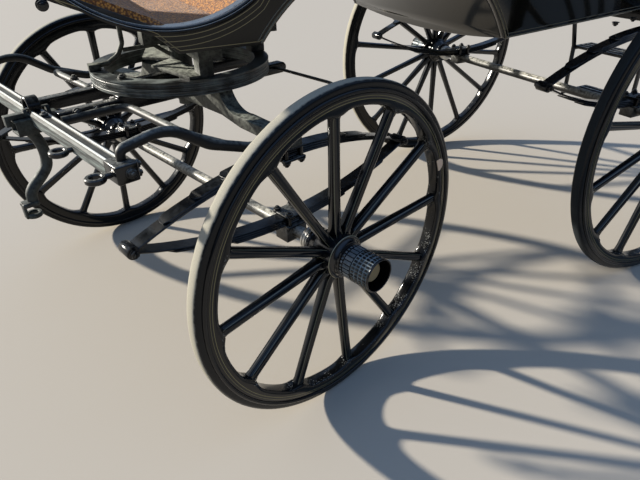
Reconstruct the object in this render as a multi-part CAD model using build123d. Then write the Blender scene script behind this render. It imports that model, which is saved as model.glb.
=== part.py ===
from build123d import *
import math
import os

os.makedirs("parts", exist_ok=True)

# A four-wheeled wagonette carriage, in millimetres, +X forward, +Y to the near side, +Z up.
# It is drawn with its origin on the ground under the rear axle, and moved at the end so that
# the origin lies at the centre of the bottom of its bounding box.

# Wheels and axles
wheelbase = 1605
front_wheel_r = 465
rear_wheel_r = 581
front_track = 1415
rear_track = 1463
front_spokes = 12
rear_spokes = 14
spoke_phases = {"front_near": 4.1, "front_far": 1.5, "rear_near": 15.7, "rear_far": 9.0}
tyre_depth = 28
tyre_width = 38
tyre_shoulder = 7
channel_lip = 9
felloe_depth = 33
felloe_width = 44
felloe_moulding = 6
spoke_width_hub = 27
spoke_width_rim = 32
spoke_thick_hub = 36
spoke_thick_rim = 28
spoke_dish = 22
nave_r = 62
nave_half = 27
nave_back = 78
nave_back_r = 45
nose_r = 45
nose_rim_r = 48
nose_rim_length = 40
nose_length = 135
nose_recess_r = 36
nose_recess = 28
nose_disc_r = 25
nose_disc_height = 8
arm_r = 20
arm_end = 84
axle_r = 18
collar_r = 33
collar_length = 30
axle_fit = 0.05
axle_gap = 1.0
steer_rest = 15.1

# Elliptic springs, each two packs of leaves that meet at their eyes
spring_y = 500
spring_width = 44
leaf_thick = 6.5
leaf_count = 4
leaf_step = 0.19
eye_r = 16
eye_bolt_r = 9
eye_bolt_out = 9
clamp_length = 74
clamp_wall = 7
front_spring_half = 477
front_spring_rise = 91
rear_spring_half = 535
rear_spring_rise = 122
axle_block_half = 26

# Forecarriage
ring_outer_r = 272
ring_width = 45
ring_plate = 20
ring_gap = 0.3
ring_lift = 74.5
bed_thick = 46
bed_end_height = 24
bed_depth = 30
bed_reach = 535
bed_brow_y = 228
bed_hollow = (257, -44)
bed_hump = ((326, 11.5), (412, 7.5))
bed_belly = ((415, 0), (322, 4.5))
bed_belly_foot = (235, -3)
futchell_y = 80
futchell_width = 34
futchell_depth = 35
futchell_back = -345
futchell_round = 17.5
ring_packing = 9
packing_x = (206, 262)
kingpin_r = 14
kingpin_fit = 0.06
kingpin_boss_r = 34
kingpin_boss_lap = 2
kingpin_boss_low = 8
kingpin_nut_r = 25
kingpin_nut_height = 20
splinter_x = 452
splinter_half = 532
splinter_width = 50
splinter_height = 42
splinter_drop = 8
splinter_chamfer = 8
stay_foot_inner = 485
stay_foot_half = 21
stay_foot_thick = 6
trace_eye_y = (295, 495)
trace_eye_drop = 27
eye_hole_r = 12
eye_ring_r = 22
eye_ring_height = 14
eye_reach = 56
eye_shank = 18
outer_stay_r = 17
outer_stay_top = ((452, 846), (350, 840), (235, 785), (120, 748))
outer_stay_bends = (28, 100, 100, 100)
inner_stay_r = 11
inner_stay_drop = 16
inner_stay_turn = ((250, 420, 797), (175, 495, 768))
inner_stay_bends = (50, 60)
rear_stay_r = 5
rear_stay_path = ((-300, 380, 800), (-240, 430, 780), (-120, 465, 750))
rear_stay_bends = (60, 60, 60)
stay_seat = 1
stay_gap = 0.3
socket_back = 400
socket_front = 517
socket_half = 30
socket_drop = 17
socket_height = 40
socket_wall = 6
hoop_thick = 9
hoop_half = 11
keeper_reach = 535
keeper_lower = 5
keeper_thick = 12
keeper_drop = 28
drop_r = 16
drop_path = ((490, 12), (468, -32), (466, -103), (530, -150), (530, -190))
drop_bends = (24, 30, 30)
shackle_plate = 14
shackle_gap = 21
shackle_half = 24
shackle_arm_half = 18
shackle_post = (554, 563)
shackle_post_half = 12
shackle_eye_x = 538

# Top carriage over the rings
beam_half = 32
beam_depth = 56
leg_x = (-25, 15)
leg_y = (200, 250)
rear_leg_half = 24
king_plate = ((105, 60), (46, 250), (-15, 250), (26, -5))
king_plate_thick = 8
bow_stay = ((256, 876), (216, 880), (183, 899), (165, 931))
bow_stay_r = 7
bow_foot = 16
brace_path = ((167, 912), (75, 916), (14, 872))
brace_r = 6

# Body
body_half = 450
panel_thick = 20
floor_thick = 18
rear_end_x = -470
rear_bottom_z = 957
arch_rear = (697, 903)
arch_front = (1510, 978)
arch_crown = (1083, 1167)
arch_board = 14
valance_drop = 38
boot_corner_x = 1716
boot_knee = (1760, 1020)
boot_rise = (1964, 1110)
toe = (2090, 1195)
toe_rim = 30
rim_low = (1710, 1035)
rim_front = (1920, 1112)
rim_rear = (1530, 1085)
pillar_top_x = 1435
box_side_z = 1210
seat_back_x = 880
driver_seat_z = 1390
seat_board = 18
driver_seat_half = 520
bench_z = 1290
bench_half = 605
bench_riser_y = 250
riser_thick = 18
door_gap = 6
door_thick = 18
door_bottom_clear = 8
door_top_z = 1330
hinge_out = 9
hinge_barrel_r = 7
hinge_pin_r = 4
hinge_length = 46
hinge_heights_in = (40, 110)
hinge_strap = 130
hinge_plate = 40
handle_out = 22
handle_r = 8
handle_drop = 30
handle_bar = 16
handle_length = 70
dash_top = (2165, 1490)
dash_thick = 12
mat_thick = 12
cushion_thick = 85
cushion_gap = 0.3
cushion_inset = 25
bench_rail_clear = 40
rail_r = 9
rail_lean = 55
rail_hollow = 20
rail_foot = 30
upright_r = 7
pad_drop = 10
bench_rail_z = 1640
driver_rail_z = 1730
pad_thick = 45
pad_height = 120
step_half = 190
step_bar = 22
step_top_x = -400
step_rake = 75
step_palm = (60, 40)
step_palm_thick = 12
step_slat = 16
step_slat_thick = 14
step_side_depth = 20
step_iron = 10
step_upper_z = 640
step_lower_z = 410
step_depth = 130

# Heights and places that follow from the sizes above
half_leaf = leaf_thick / 2
pack_height = leaf_thick * leaf_count
front_seat_z = front_wheel_r + axle_block_half
front_eye_z = front_seat_z + pack_height - half_leaf + front_spring_rise
front_top_z = 2 * front_eye_z - front_seat_z
rear_seat_z = rear_wheel_r + axle_r
rear_eye_z = rear_seat_z + pack_height - half_leaf + rear_spring_rise
rear_top_z = 2 * rear_eye_z - rear_seat_z
bed_end_bottom = front_top_z + clamp_wall
bed_end_top = bed_end_bottom + bed_end_height
ring_bottom = bed_end_top + ring_lift
ring_split = ring_bottom + ring_plate
ring_top = ring_split + ring_gap + ring_plate
ring_inner_r = ring_outer_r - ring_width
futchell_top = ring_bottom - ring_packing
futchell_bottom = futchell_top - futchell_depth
bed_bottom = futchell_bottom - bed_depth
splinter_top = ring_bottom - splinter_drop
splinter_bottom = splinter_top - splinter_height
splinter_back = splinter_x - splinter_width / 2
splinter_front = splinter_x + splinter_width / 2
socket_top = splinter_bottom + socket_height - socket_drop
socket_bottom = splinter_bottom - socket_drop
inner_half = body_half - panel_thick
cushion_z = driver_seat_z + seat_board + cushion_gap
bench_cushion_z = bench_z + seat_board + cushion_gap
king_x = wheelbase


def face_xz(*edges):
    """A face in the XZ plane from edges drawn in (x, z)."""
    return Plane.XZ * make_face(Curve() + list(edges))


def plate_xz(edges, y_low, y_high):
    """A plate drawn in (x, z) that spans y_low to y_high."""
    middle = (y_low + y_high) / 2
    face = Pos(0, middle, 0) * face_xz(*edges)
    return extrude(face, amount=(y_high - y_low) / 2, both=True)


def plate_yz(points, x_low, x_high):
    """A plate with a polygon in (y, z) that spans x_low to x_high."""
    face = Plane.YZ * make_face(Polyline(*points, close=True))
    return Pos(x_low, 0, 0) * extrude(face, amount=x_high - x_low)


def block(x, y, z):
    """A box given by its low and high corner on each axis."""
    size = Box(x[1] - x[0], y[1] - y[0], z[1] - z[0])
    return Pos((x[0] + x[1]) / 2, (y[0] + y[1]) / 2, (z[0] + z[1]) / 2) * size


def bar_y(x, z, radius, y_low, y_high):
    """A round bar along Y."""
    middle = Pos(x, (y_low + y_high) / 2, z)
    return middle * Rot(90, 0, 0) * Cylinder(radius, y_high - y_low)


def upright(x, y, radius, z_low, z_high):
    """A round bar along Z."""
    return Pos(x, y, (z_low + z_high) / 2) * Cylinder(radius, z_high - z_low)


def bent_iron(points, radius, bend):
    """A round iron through points, with each corner rounded to the bend."""
    path = FilletPolyline(*points, radius=bend)
    start = Plane(origin=path @ 0, z_dir=path % 0)
    return sweep(start * Circle(radius), path=path)


def turned(profile):
    """A solid of revolution about Y from a profile in (radius, y)."""
    return revolve(make_face(Polyline(*profile, close=True)), axis=Axis.Y)


def far_side(shape):
    return mirror(shape, about=Plane.XZ)


# Wheels: drawn round Y with the rim plane at y = 0 and the nose to +Y
def tyre(wheel_r):
    base = wheel_r - tyre_depth
    half = tyre_width / 2
    return turned([
        (base, -half), (wheel_r - tyre_shoulder, -half), (wheel_r, -half + tyre_shoulder),
        (wheel_r, half - tyre_shoulder), (wheel_r - tyre_shoulder, half), (base, half),
    ])


def rim(wheel_r):
    base = wheel_r - tyre_depth
    inner = base - felloe_depth
    half = felloe_width / 2
    lip = tyre_width / 2 + 0.2
    return turned([
        (inner, -half + felloe_moulding), (inner + felloe_moulding, -half),
        (base + channel_lip, -half), (base + channel_lip, -lip), (base, -lip),
        (base, lip), (base + channel_lip, lip), (base + channel_lip, half),
        (inner + felloe_moulding, half), (inner, half - felloe_moulding),
    ])


def spoke(inner):
    """One spoke along +X with a ridge on its face, dished towards the nose at the rim."""
    sections = []
    for reach, width, thick, offset in (
        (nave_r - 14, spoke_width_hub, spoke_thick_hub, -spoke_dish),
        (inner + 8, spoke_width_rim, spoke_thick_rim, 0),
    ):
        outline = [
            (-width / 2, -thick / 4), (0, -thick / 2), (width / 2, -thick / 4),
            (width / 2, thick / 4), (0, thick / 2), (-width / 2, thick / 4),
        ]
        plane = Plane(origin=(reach, offset, 0), x_dir=(0, 0, 1), z_dir=(1, 0, 0))
        sections.append(plane * make_face(Polyline(*outline, close=True)))
    return loft(sections, ruled=True)


def spider(wheel_r, count, phase):
    """The nave with its nose, and the spokes, cut to the inside of the rim."""
    inner = wheel_r - tyre_depth - felloe_depth
    rays = [Rot(0, phase + 360 / count * k, 0) * spoke(inner) for k in range(count)]
    disc = Rot(90, 0, 0) * Cylinder(inner, 4 * felloe_width)
    middle = -spoke_dish
    bore = arm_r + axle_fit
    nose_start = middle + nave_half + 12
    nave = turned([
        (bore, middle - nave_back), (nave_back_r, middle - nave_back),
        (nave_r - 6, middle - nave_half - 10), (nave_r, middle - nave_half),
        (nave_r, middle + nave_half), (nave_r, nose_start), (nose_r, nose_start + 4),
        (nose_r, nose_length - nose_rim_length), (nose_rim_r, nose_length - nose_rim_length),
        (nose_rim_r, nose_length), (nose_recess_r, nose_length),
        (nose_recess_r, nose_length - nose_recess), (nose_disc_r, nose_length - nose_recess),
        (nose_disc_r, nose_length - nose_recess + nose_disc_height),
        (0, nose_length - nose_recess + nose_disc_height), (0, arm_end + 6), (bore, arm_end + 6),
    ])
    for ray in rays:
        nave += ray & disc
    return nave


def place_wheel(shape, x, track, radius, side, turn):
    """Puts a wheel at its axle's end; the far side's is turned about so its nose is outboard."""
    if side < 0:
        shape = Rot(0, 0, 180) * shape
    wheel = Pos(0, side * track / 2, radius) * shape
    return Pos(x, 0, 0) * Rot(0, 0, turn) * wheel


def axle(track, radius, block_half, block_top):
    """A round axle with a spring block, a collar and an arm at each end."""
    nave_end = track / 2 - spoke_dish - nave_back
    shoulder = nave_end - axle_gap
    shape = bar_y(0, radius, axle_r, -shoulder, shoulder)
    for side in (-1, 1):
        low, high = sorted((side * (shoulder - collar_length), side * shoulder))
        shape += bar_y(0, radius, collar_r, low, high)
        low, high = sorted((side * (shoulder - 1), side * (track / 2 + arm_end)))
        shape += bar_y(0, radius, arm_r, low, high)
        middle = side * spring_y
        shape += block((-clamp_length / 2, clamp_length / 2),
                       (middle - block_half, middle + block_half),
                       (radius - block_half, block_top))
    return shape


def leaf_pack(half, rise):
    """A pack of leaves with its main leaf on top, its middle surface through (0, 0)."""
    radius = (half ** 2 + rise ** 2) / (2 * rise)
    pack = None
    for k in range(leaf_count):
        inner = radius - half_leaf + k * leaf_thick
        outer = inner + leaf_thick
        spread = math.asin(half / radius) * (1 - k * leaf_step)
        ends = [(r * math.sin(spread), radius - r * math.cos(spread)) for r in (inner, outer)]
        (xi, zi), (xo, zo) = ends
        leaf = make_face(Curve() + [
            ThreePointArc((-xi, zi), (0, radius - inner), (xi, zi)),
            Line((xi, zi), (xo, zo)),
            ThreePointArc((xo, zo), (0, radius - outer), (-xo, zo)),
            Line((-xo, zo), (-xi, zi)),
        ])
        solid = extrude(Plane.XZ * leaf, amount=spring_width / 2, both=True)
        pack = solid if pack is None else pack + solid
    return pack


def spring(half, rise, seat_z, eye_z):
    """A full elliptic spring about its seat, with its eyes, eye bolts and clamps."""
    middle = eye_z - rise
    pack = leaf_pack(half, rise)
    shape = Pos(0, 0, middle) * pack
    shape += Pos(0, 0, 2 * eye_z - middle) * mirror(pack, about=Plane.XY)
    for x in (-half, half):
        shape += bar_y(x, eye_z, eye_r, -spring_width / 2, spring_width / 2)
        shape += bar_y(x, eye_z, eye_bolt_r, -spring_width / 2 - eye_bolt_out,
                       spring_width / 2 + eye_bolt_out)
    reach = spring_width / 2 + clamp_wall
    top = 2 * eye_z - seat_z
    for low, high in ((seat_z, seat_z + pack_height + clamp_wall),
                      (top - pack_height - clamp_wall, top + clamp_wall)):
        shape += block((-clamp_length / 2, clamp_length / 2), (-reach, reach), (low, high))
    return shape


# Forecarriage, drawn straight ahead round the kingpin at x = 0
def ring(z_low, z_high):
    middle = Pos(0, 0, (z_low + z_high) / 2)
    height = z_high - z_low
    return middle * (Cylinder(ring_outer_r, height) - Cylinder(ring_inner_r, height))


def lower_bed():
    """The timber from spring to spring, humped up under the ring and let down for the futchells."""
    saddle = futchell_y + futchell_width
    brow = (bed_brow_y, ring_bottom)
    hollow = (bed_hollow[0], ring_bottom + bed_hollow[1])
    hump = [(y, bed_end_top + rise) for y, rise in bed_hump]
    belly = [(y, bed_end_bottom + rise) for y, rise in bed_belly]
    foot = (bed_belly_foot[0], bed_bottom + bed_belly_foot[1])
    half = make_face(Curve() + [
        Line((0, futchell_bottom), (saddle, futchell_bottom)),
        Line((saddle, futchell_bottom), (saddle, ring_bottom)),
        Line((saddle, ring_bottom), brow),
        ThreePointArc(brow, hollow, hump[0]),
        Polyline(*hump, (bed_reach, bed_end_top), (bed_reach, bed_end_bottom), *belly,
                 foot, (0, bed_bottom), (0, futchell_bottom)),
    ])
    near = extrude(Plane.YZ * half, amount=bed_thick / 2, both=True)
    bed = near + far_side(near)
    bed += upright(0, 0, kingpin_boss_r + kingpin_boss_lap, bed_bottom, futchell_bottom)
    return bed - upright(0, 0, kingpin_r + kingpin_fit, bed_bottom - 1, futchell_bottom + 1)


def futchells():
    """Two timbers under the ring that carry the pole, packed up to the ring at its front and back."""
    back = futchell_back + futchell_round
    middle = futchell_bottom + futchell_depth / 2
    edges = [
        ThreePointArc((back, futchell_top), (futchell_back, middle), (back, futchell_bottom)),
        Polyline((back, futchell_bottom), (splinter_back, futchell_bottom),
                 (splinter_back, futchell_top), (back, futchell_top)),
    ]
    shape = None
    for side in (-1, 1):
        y = sorted((side * (futchell_y - futchell_width / 2), side * (futchell_y + futchell_width / 2)))
        timber = plate_xz(edges, *y)
        for x in (packing_x, (-packing_x[1], -packing_x[0])):
            timber += block(x, y, (futchell_top, ring_bottom))
        shape = timber if shape is None else shape + timber
    return shape


def front_stays():
    """The near iron forging: the outer stay's foot on the splinter bar, and the inner stay."""
    shape = block((splinter_x - stay_foot_half, splinter_x + stay_foot_half),
                  (stay_foot_inner, splinter_half), (splinter_top, splinter_top + stay_foot_thick))
    foot = [(splinter_x, spring_y, splinter_top)]
    over = [(x, spring_y, z) for x, z in outer_stay_top]
    end = [(0, spring_y, bed_end_bottom + outer_stay_r + stay_seat)]
    shape += bent_iron(foot + over + end, outer_stay_r, outer_stay_bends)
    y = futchell_y + futchell_width / 2 + stay_gap + inner_stay_r
    z = futchell_top - inner_stay_drop
    turn, merge = inner_stay_turn
    shape += bent_iron([(splinter_back, y, z), (turn[0], y, z), turn, merge],
                       inner_stay_r, inner_stay_bends)
    return shape - bed_space()


def bed_space():
    """The bed's own space, so that the stays end flush on its faces."""
    return block((-bed_thick / 2, bed_thick / 2), (-bed_reach, bed_reach), (0, ring_bottom))


def rear_stay():
    """The thin near stay from the futchell's side round to the bed's end."""
    first, *others = rear_stay_path
    side = futchell_y + futchell_width / 2
    start = (first[0], side, first[2])
    end = (0, others[-1][1], bed_end_bottom + outer_stay_r + stay_seat)
    return bent_iron([start, *rear_stay_path, end], rear_stay_r, rear_stay_bends) - bed_space()


def splinter_bar():
    """The bar the traces pull on, with an eye in front for each trace."""
    bar = block((splinter_back, splinter_front), (-splinter_half, splinter_half),
                (splinter_bottom, splinter_top))
    bar = chamfer(bar.edges().filter_by(Axis.Y), splinter_chamfer)
    half = socket_half + stay_gap
    bar -= block((splinter_back - 1, splinter_front + 1), (-half, half),
                 (splinter_bottom - 1, socket_top + stay_gap))
    z_eye = splinter_top - trace_eye_drop
    for y in trace_eye_y:
        for side in (-1, 1):
            middle = Pos(splinter_x + eye_reach, side * y, z_eye)
            bar += block((splinter_front - splinter_chamfer, splinter_x + eye_reach - eye_ring_r + 6),
                         (side * y - eye_shank / 2, side * y + eye_shank / 2),
                         (z_eye - eye_ring_height / 2, z_eye + eye_ring_height / 2))
            bar += middle * (Cylinder(eye_ring_r, eye_ring_height)
                             - Cylinder(eye_hole_r, eye_ring_height))
    return bar


def pole_socket():
    """The box that takes the pole's end, with the hoop over the splinter bar and a keeper."""
    box = block((socket_back, socket_front), (-socket_half, socket_half), (socket_bottom, socket_top))
    hole = socket_half - socket_wall
    box -= block((socket_back + socket_wall, socket_front + 1), (-hole, hole),
                 (socket_bottom + socket_wall, socket_top - socket_wall))
    inner_r = splinter_width / 2 + stay_gap
    outer_r = inner_r + hoop_thick
    hoop = bar_y(splinter_x, splinter_top, outer_r, -hoop_half, hoop_half)
    hoop += block((splinter_x - outer_r, splinter_x + outer_r), (-hoop_half, hoop_half),
                  (socket_top - 1, splinter_top))
    hoop -= block((splinter_x - inner_r, splinter_x + inner_r), (-hoop_half - 1, hoop_half + 1),
                  (socket_top, splinter_top + stay_gap))
    keeper_top = splinter_top - keeper_lower
    hoop += block((splinter_x + inner_r, keeper_reach), (-hoop_half, hoop_half),
                  (keeper_top - keeper_thick, keeper_top))
    hoop += block((keeper_reach - keeper_thick, keeper_reach), (-hoop_half, hoop_half),
                  (keeper_top - keeper_drop, keeper_top))
    return box + hoop


def drop_iron():
    """The curved iron below the socket, with the stirrup that takes the lower pole strap."""
    stem = bent_iron([(x, 0, socket_bottom + z) for x, z in drop_path], drop_r, drop_bends)
    stem -= block((socket_back, socket_front), (-socket_half, socket_half), (socket_bottom, socket_top))
    top = socket_bottom + drop_path[-1][1]
    gap_top = top - shackle_plate
    gap_low = gap_top - shackle_gap
    low = gap_low - shackle_plate
    rear = shackle_eye_x - shackle_half
    arm = (-shackle_arm_half, shackle_arm_half)
    shape = stem + block((rear, shackle_post[1]), arm, (gap_top, top))
    shape += block(shackle_post, (-shackle_post_half, shackle_post_half), (low, top))
    shape += upright(shackle_eye_x, 0, shackle_half, low, gap_low)
    return shape - upright(shackle_eye_x, 0, eye_hole_r, low - 1, gap_low + 1)


# Body
def bottom_z(x):
    """The height of the rear body's bottom edge, which falls a little towards the front."""
    run = (x - rear_end_x) / (arch_rear[0] - rear_end_x)
    return rear_bottom_z + run * (arch_rear[1] - rear_bottom_z)


def side_panel():
    """The near side panel: rear box side, wheel arch, seat side and the boot's curved sill."""
    knee = (pillar_top_x + 12, rim_rear[1] + 110)
    top_front = (toe[0] - 18, toe[1] + toe_rim)
    edges = [
        Line((rear_end_x, bottom_z(rear_end_x)), arch_rear),
        ThreePointArc(arch_rear, arch_crown, arch_front),
        Line(arch_front, (boot_corner_x, arch_front[1])),
        Line((boot_corner_x, arch_front[1]), boot_knee),
        Line(boot_knee, boot_rise),
        Line(boot_rise, toe),
        Line(toe, top_front),
        Line(top_front, rim_front),
        ThreePointArc(rim_front, rim_low, rim_rear),
        Line(rim_rear, knee),
        Line(knee, (pillar_top_x, driver_seat_z)),
        Line((pillar_top_x, driver_seat_z), (seat_back_x, driver_seat_z)),
        Line((seat_back_x, driver_seat_z), (seat_back_x, box_side_z)),
        Line((seat_back_x, box_side_z), (rear_end_x, box_side_z)),
        Line((rear_end_x, box_side_z), (rear_end_x, bottom_z(rear_end_x))),
    ]
    return plate_xz(edges, inner_half, body_half)


def arch_centre():
    """The centre and radius of the circle through the arch's two ends and crown."""
    arc = ThreePointArc(arch_rear, arch_crown, arch_front)
    return arc.arc_center, arc.radius


def wheel_arch():
    """The vault over the front wheels and the bowed valance at its rear foot."""
    centre, radius = arch_centre()
    angles = [math.atan2(z - centre.Y, x - centre.X) for x, z in (arch_rear, arch_front)]
    mid = sum(angles) / 2

    def at(r, angle):
        return (centre.X + r * math.cos(angle), centre.Y + r * math.sin(angle))

    outer = radius + arch_board
    vault = plate_xz([
        ThreePointArc(at(radius, angles[0]), at(radius, mid), at(radius, angles[1])),
        Line(at(radius, angles[1]), at(outer, angles[1])),
        ThreePointArc(at(outer, angles[1]), at(outer, mid), at(outer, angles[0])),
        Line(at(outer, angles[0]), at(radius, angles[0])),
    ], -inner_half, inner_half)
    foot = angles[0] + valance_drop / radius
    skirt = plate_xz([
        ThreePointArc(at(radius, angles[0]), at(radius, (angles[0] + foot) / 2), at(radius, foot)),
        Line(at(radius, foot), at(outer, foot)),
        ThreePointArc(at(outer, foot), at(outer, (angles[0] + foot) / 2), at(outer, angles[0])),
        Line(at(outer, angles[0]), at(radius, angles[0])),
    ], -inner_half, inner_half)
    low = at(radius, foot)[1]
    top = arch_rear[1] + 20
    bow = Plane.YZ * make_face(Curve() + [
        ThreePointArc((-inner_half, arch_rear[1]), (0, low + 2), (inner_half, arch_rear[1])),
        Line((inner_half, arch_rear[1]), (inner_half, top)),
        Line((inner_half, top), (-inner_half, top)),
        Line((-inner_half, top), (-inner_half, arch_rear[1])),
    ])
    bow = Pos(arch_rear[0] - 200, 0, 0) * extrude(bow, amount=400)
    return vault + (skirt & bow)


def rear_floor():
    start = rear_end_x + panel_thick
    end = arch_rear[0] - 20
    return plate_xz([
        Line((start, bottom_z(start)), (end, bottom_z(end))),
        Line((end, bottom_z(end)), (end, bottom_z(end) + floor_thick)),
        Line((end, bottom_z(end) + floor_thick), (start, bottom_z(start) + floor_thick)),
        Line((start, bottom_z(start) + floor_thick), (start, bottom_z(start))),
    ], -inner_half, inner_half)


def boot_path(rise):
    """The boot floor's line in (x, z), raised by a thickness."""
    return [
        (arch_front[0], arch_front[1] + rise), (boot_corner_x - rise * 0.4, arch_front[1] + rise),
        (boot_knee[0] - rise * 0.65, boot_knee[1] + rise * 0.8),
        (boot_rise[0] - rise * 0.5, boot_rise[1] + rise),
        (toe[0] - rise * 0.55, toe[1] + rise * 0.9),
    ]


def boot_floor():
    outline = boot_path(0) + boot_path(floor_thick)[::-1]
    board = plate_xz([Polyline(*outline, close=True)], -inner_half, inner_half)
    return board - wheel_space()


def wheel_space():
    """The vault board's own space, so that what meets it is cut to its back."""
    centre, radius = arch_centre()
    return bar_y(centre.X, centre.Y, radius + arch_board, -body_half, body_half)


def foot_mat():
    low = boot_path(floor_thick)[:4]
    high = boot_path(floor_thick + mat_thick)[:4]
    low[0] = (low[0][0] + 30, low[0][1])
    high[0] = (high[0][0] + 30, high[0][1])
    outline = low + high[::-1]
    return plate_xz([Polyline(*outline, close=True)], -inner_half + 8, inner_half - 8)


def driver_seat():
    """The box under the driver's seat: a front riser, a rear riser and the seat board."""
    front = block((pillar_top_x - panel_thick, pillar_top_x), (-inner_half, inner_half),
                  (arch_front[1], driver_seat_z))
    back = block((seat_back_x, seat_back_x + riser_thick), (-inner_half, inner_half),
                 (arch_front[1], driver_seat_z))
    board = block((seat_back_x - 10, pillar_top_x + 15), (-driver_seat_half, driver_seat_half),
                  (driver_seat_z, driver_seat_z + seat_board))
    return front + back - wheel_space() + board


def bench():
    """One side bench: a riser by the aisle, the seat board and the flared outer panel."""
    x_back = rear_end_x + panel_thick
    riser = plate_xz([Polyline(
        (x_back, bottom_z(x_back) + floor_thick), (x_back, bench_z), (seat_back_x, bench_z),
        (seat_back_x, arch_front[1]), (arch_rear[0] - 20, bottom_z(arch_rear[0] - 20) + floor_thick),
        close=True)], bench_riser_y, bench_riser_y + riser_thick) - wheel_space()
    board = block((rear_end_x, seat_back_x - 10), (bench_riser_y, bench_half),
                  (bench_z, bench_z + seat_board))
    flare = plate_yz([(body_half, box_side_z), (bench_half, bench_z), (bench_half - 26, bench_z),
                      (inner_half, box_side_z)], x_back, seat_back_x)
    return riser + board + flare


def rear_panel():
    """The two quarter panels beside the door, joined by the sill under it."""
    x_back = rear_end_x
    x_front = rear_end_x + panel_thick
    low = bottom_z(rear_end_x)
    shape = None
    for side in (-1, 1):
        points = [(bench_riser_y, low), (inner_half, low), (inner_half, box_side_z),
                  (bench_half - 26, bench_z), (bench_riser_y, bench_z)]
        panel = plate_yz([(side * y, z) for y, z in points], x_back, x_front)
        shape = panel if shape is None else shape + panel
    shape += block((x_back, x_front), (-bench_riser_y, bench_riser_y), (low, low + floor_thick))
    hinge_x = x_back - hinge_out
    hinge_y = -bench_riser_y
    for z in hinge_heights():
        shape += upright(hinge_x, hinge_y, hinge_pin_r, z, z + 2 * hinge_length)
        shape += upright(hinge_x, hinge_y, hinge_barrel_r, z, z + hinge_length - 1)
        shape += block((hinge_x, x_back), (hinge_y - hinge_plate, hinge_y), (z, z + hinge_length - 1))
    return shape


def hinge_heights():
    low = bottom_z(rear_end_x) + floor_thick + door_bottom_clear
    return (low + hinge_heights_in[0], bench_z - hinge_heights_in[1])


def rear_door():
    """The door leaf with its two hinge straps and an outside handle."""
    x_back = rear_end_x
    low = bottom_z(rear_end_x) + floor_thick + door_bottom_clear
    half = bench_riser_y - door_gap
    leaf = block((x_back, x_back + door_thick), (-half, half), (low, door_top_z))
    grip = (half - 20 - handle_length, half - 20)
    middle = sum(grip) / 2
    z_bar = bench_z - handle_drop
    leaf += bar_y(x_back - handle_out, z_bar + handle_bar / 2, handle_r, *grip)
    leaf += block((x_back - handle_out, x_back), (middle - 6, middle + 6), (z_bar, z_bar + handle_bar))
    hinge_x = x_back - hinge_out
    hinge_y = -bench_riser_y
    for z in hinge_heights():
        low_z = z + hinge_length
        high_z = z + 2 * hinge_length
        strap = block((hinge_x - 3, x_back), (hinge_y, -half + hinge_strap), (low_z, high_z))
        strap += upright(hinge_x, hinge_y, hinge_barrel_r, low_z, high_z)
        leaf += strap - upright(hinge_x, hinge_y, hinge_pin_r + axle_fit, low_z - 1, high_z + 1)
    return leaf


def dashboard():
    """The upright dash that rises from the toe board's front edge."""
    low = toe
    lean = (dash_top[0] - low[0], dash_top[1] - low[1])
    length = math.hypot(*lean)
    half = body_half
    corner = 60
    face = make_face(Polyline(
        (-half, 0), (half, 0), (half, length - corner), (half - corner, length),
        (-half + corner, length), (-half, length - corner), close=True))
    plane = Plane(origin=(low[0], 0, low[1]), x_dir=(0, 1, 0),
                  z_dir=(lean[1] / length, 0, -lean[0] / length))
    return extrude(plane * face, amount=dash_thick)


def cushion(x, y, z_low):
    return block(x, y, (z_low, z_low + cushion_thick))


def post(foot, top, lean_at):
    """A rail's upright in its own plane: straight out of the seat, then leaning to the top."""
    run = [foot, foot + Vector(0, 0, rail_foot)]
    if lean_at:
        run.append(foot + lean_at)
    return run + [top]


def rails():
    """The iron rails behind each seat: bent round bars with inner uprights."""
    z_seat = driver_seat_z + seat_board
    y = driver_seat_half - 15
    x_low = seat_back_x + 5
    foot = Vector(x_low, y, z_seat)
    top = Vector(x_low - rail_lean, y, driver_rail_z)
    near = post(foot, top, None)
    frame = near + [Vector(p.X, -p.Y, p.Z) for p in near[::-1]]
    shape = bent_iron(frame, rail_r, [20, 60, 60, 20])
    for share in (-1 / 3, 1 / 3):
        foot = Vector(x_low, share * y, z_seat)
        top = Vector(x_low - rail_lean, share * y, driver_rail_z)
        shape += bent_iron(post(foot, top, Vector(-rail_hollow, 0, rail_foot * 4)), upright_r,
                           [20, 100])
    z_bench = bench_z + seat_board
    y_low = bench_half - 15
    x_ends = bench_rail_ends()
    for side in (-1, 1):
        lean = Vector(0, side * rail_lean, bench_rail_z - z_bench)
        first = [Vector(x_ends[0], side * y_low, z_bench + h) for h in (0, rail_foot)]
        last = [Vector(x_ends[1], side * y_low, z_bench + h) for h in (rail_foot, 0)]
        frame = first + [first[0] + lean, last[1] + lean] + last
        shape += bent_iron(frame, rail_r, [20, 60, 60, 20])
        for share in (1 / 3, 2 / 3):
            foot = Vector(x_ends[0] + share * (x_ends[1] - x_ends[0]), side * y_low, z_bench)
            shape += bent_iron(post(foot, foot + lean, Vector(0, side * rail_hollow, rail_foot * 4)),
                               upright_r, [20, 100])
    return shape


def bench_rail_ends():
    return (rear_end_x + 40, seat_back_x - 60 - rail_lean)


def pad_setback(z_foot, z_rail):
    """How far an upright stands back from its foot at the height of the pad's lower edge."""
    z_bend = z_foot + rail_foot * 4
    share = (z_rail - pad_drop - pad_height - z_bend) / (z_rail - z_bend)
    return rail_hollow + share * (rail_lean - rail_hollow) - upright_r


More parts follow.
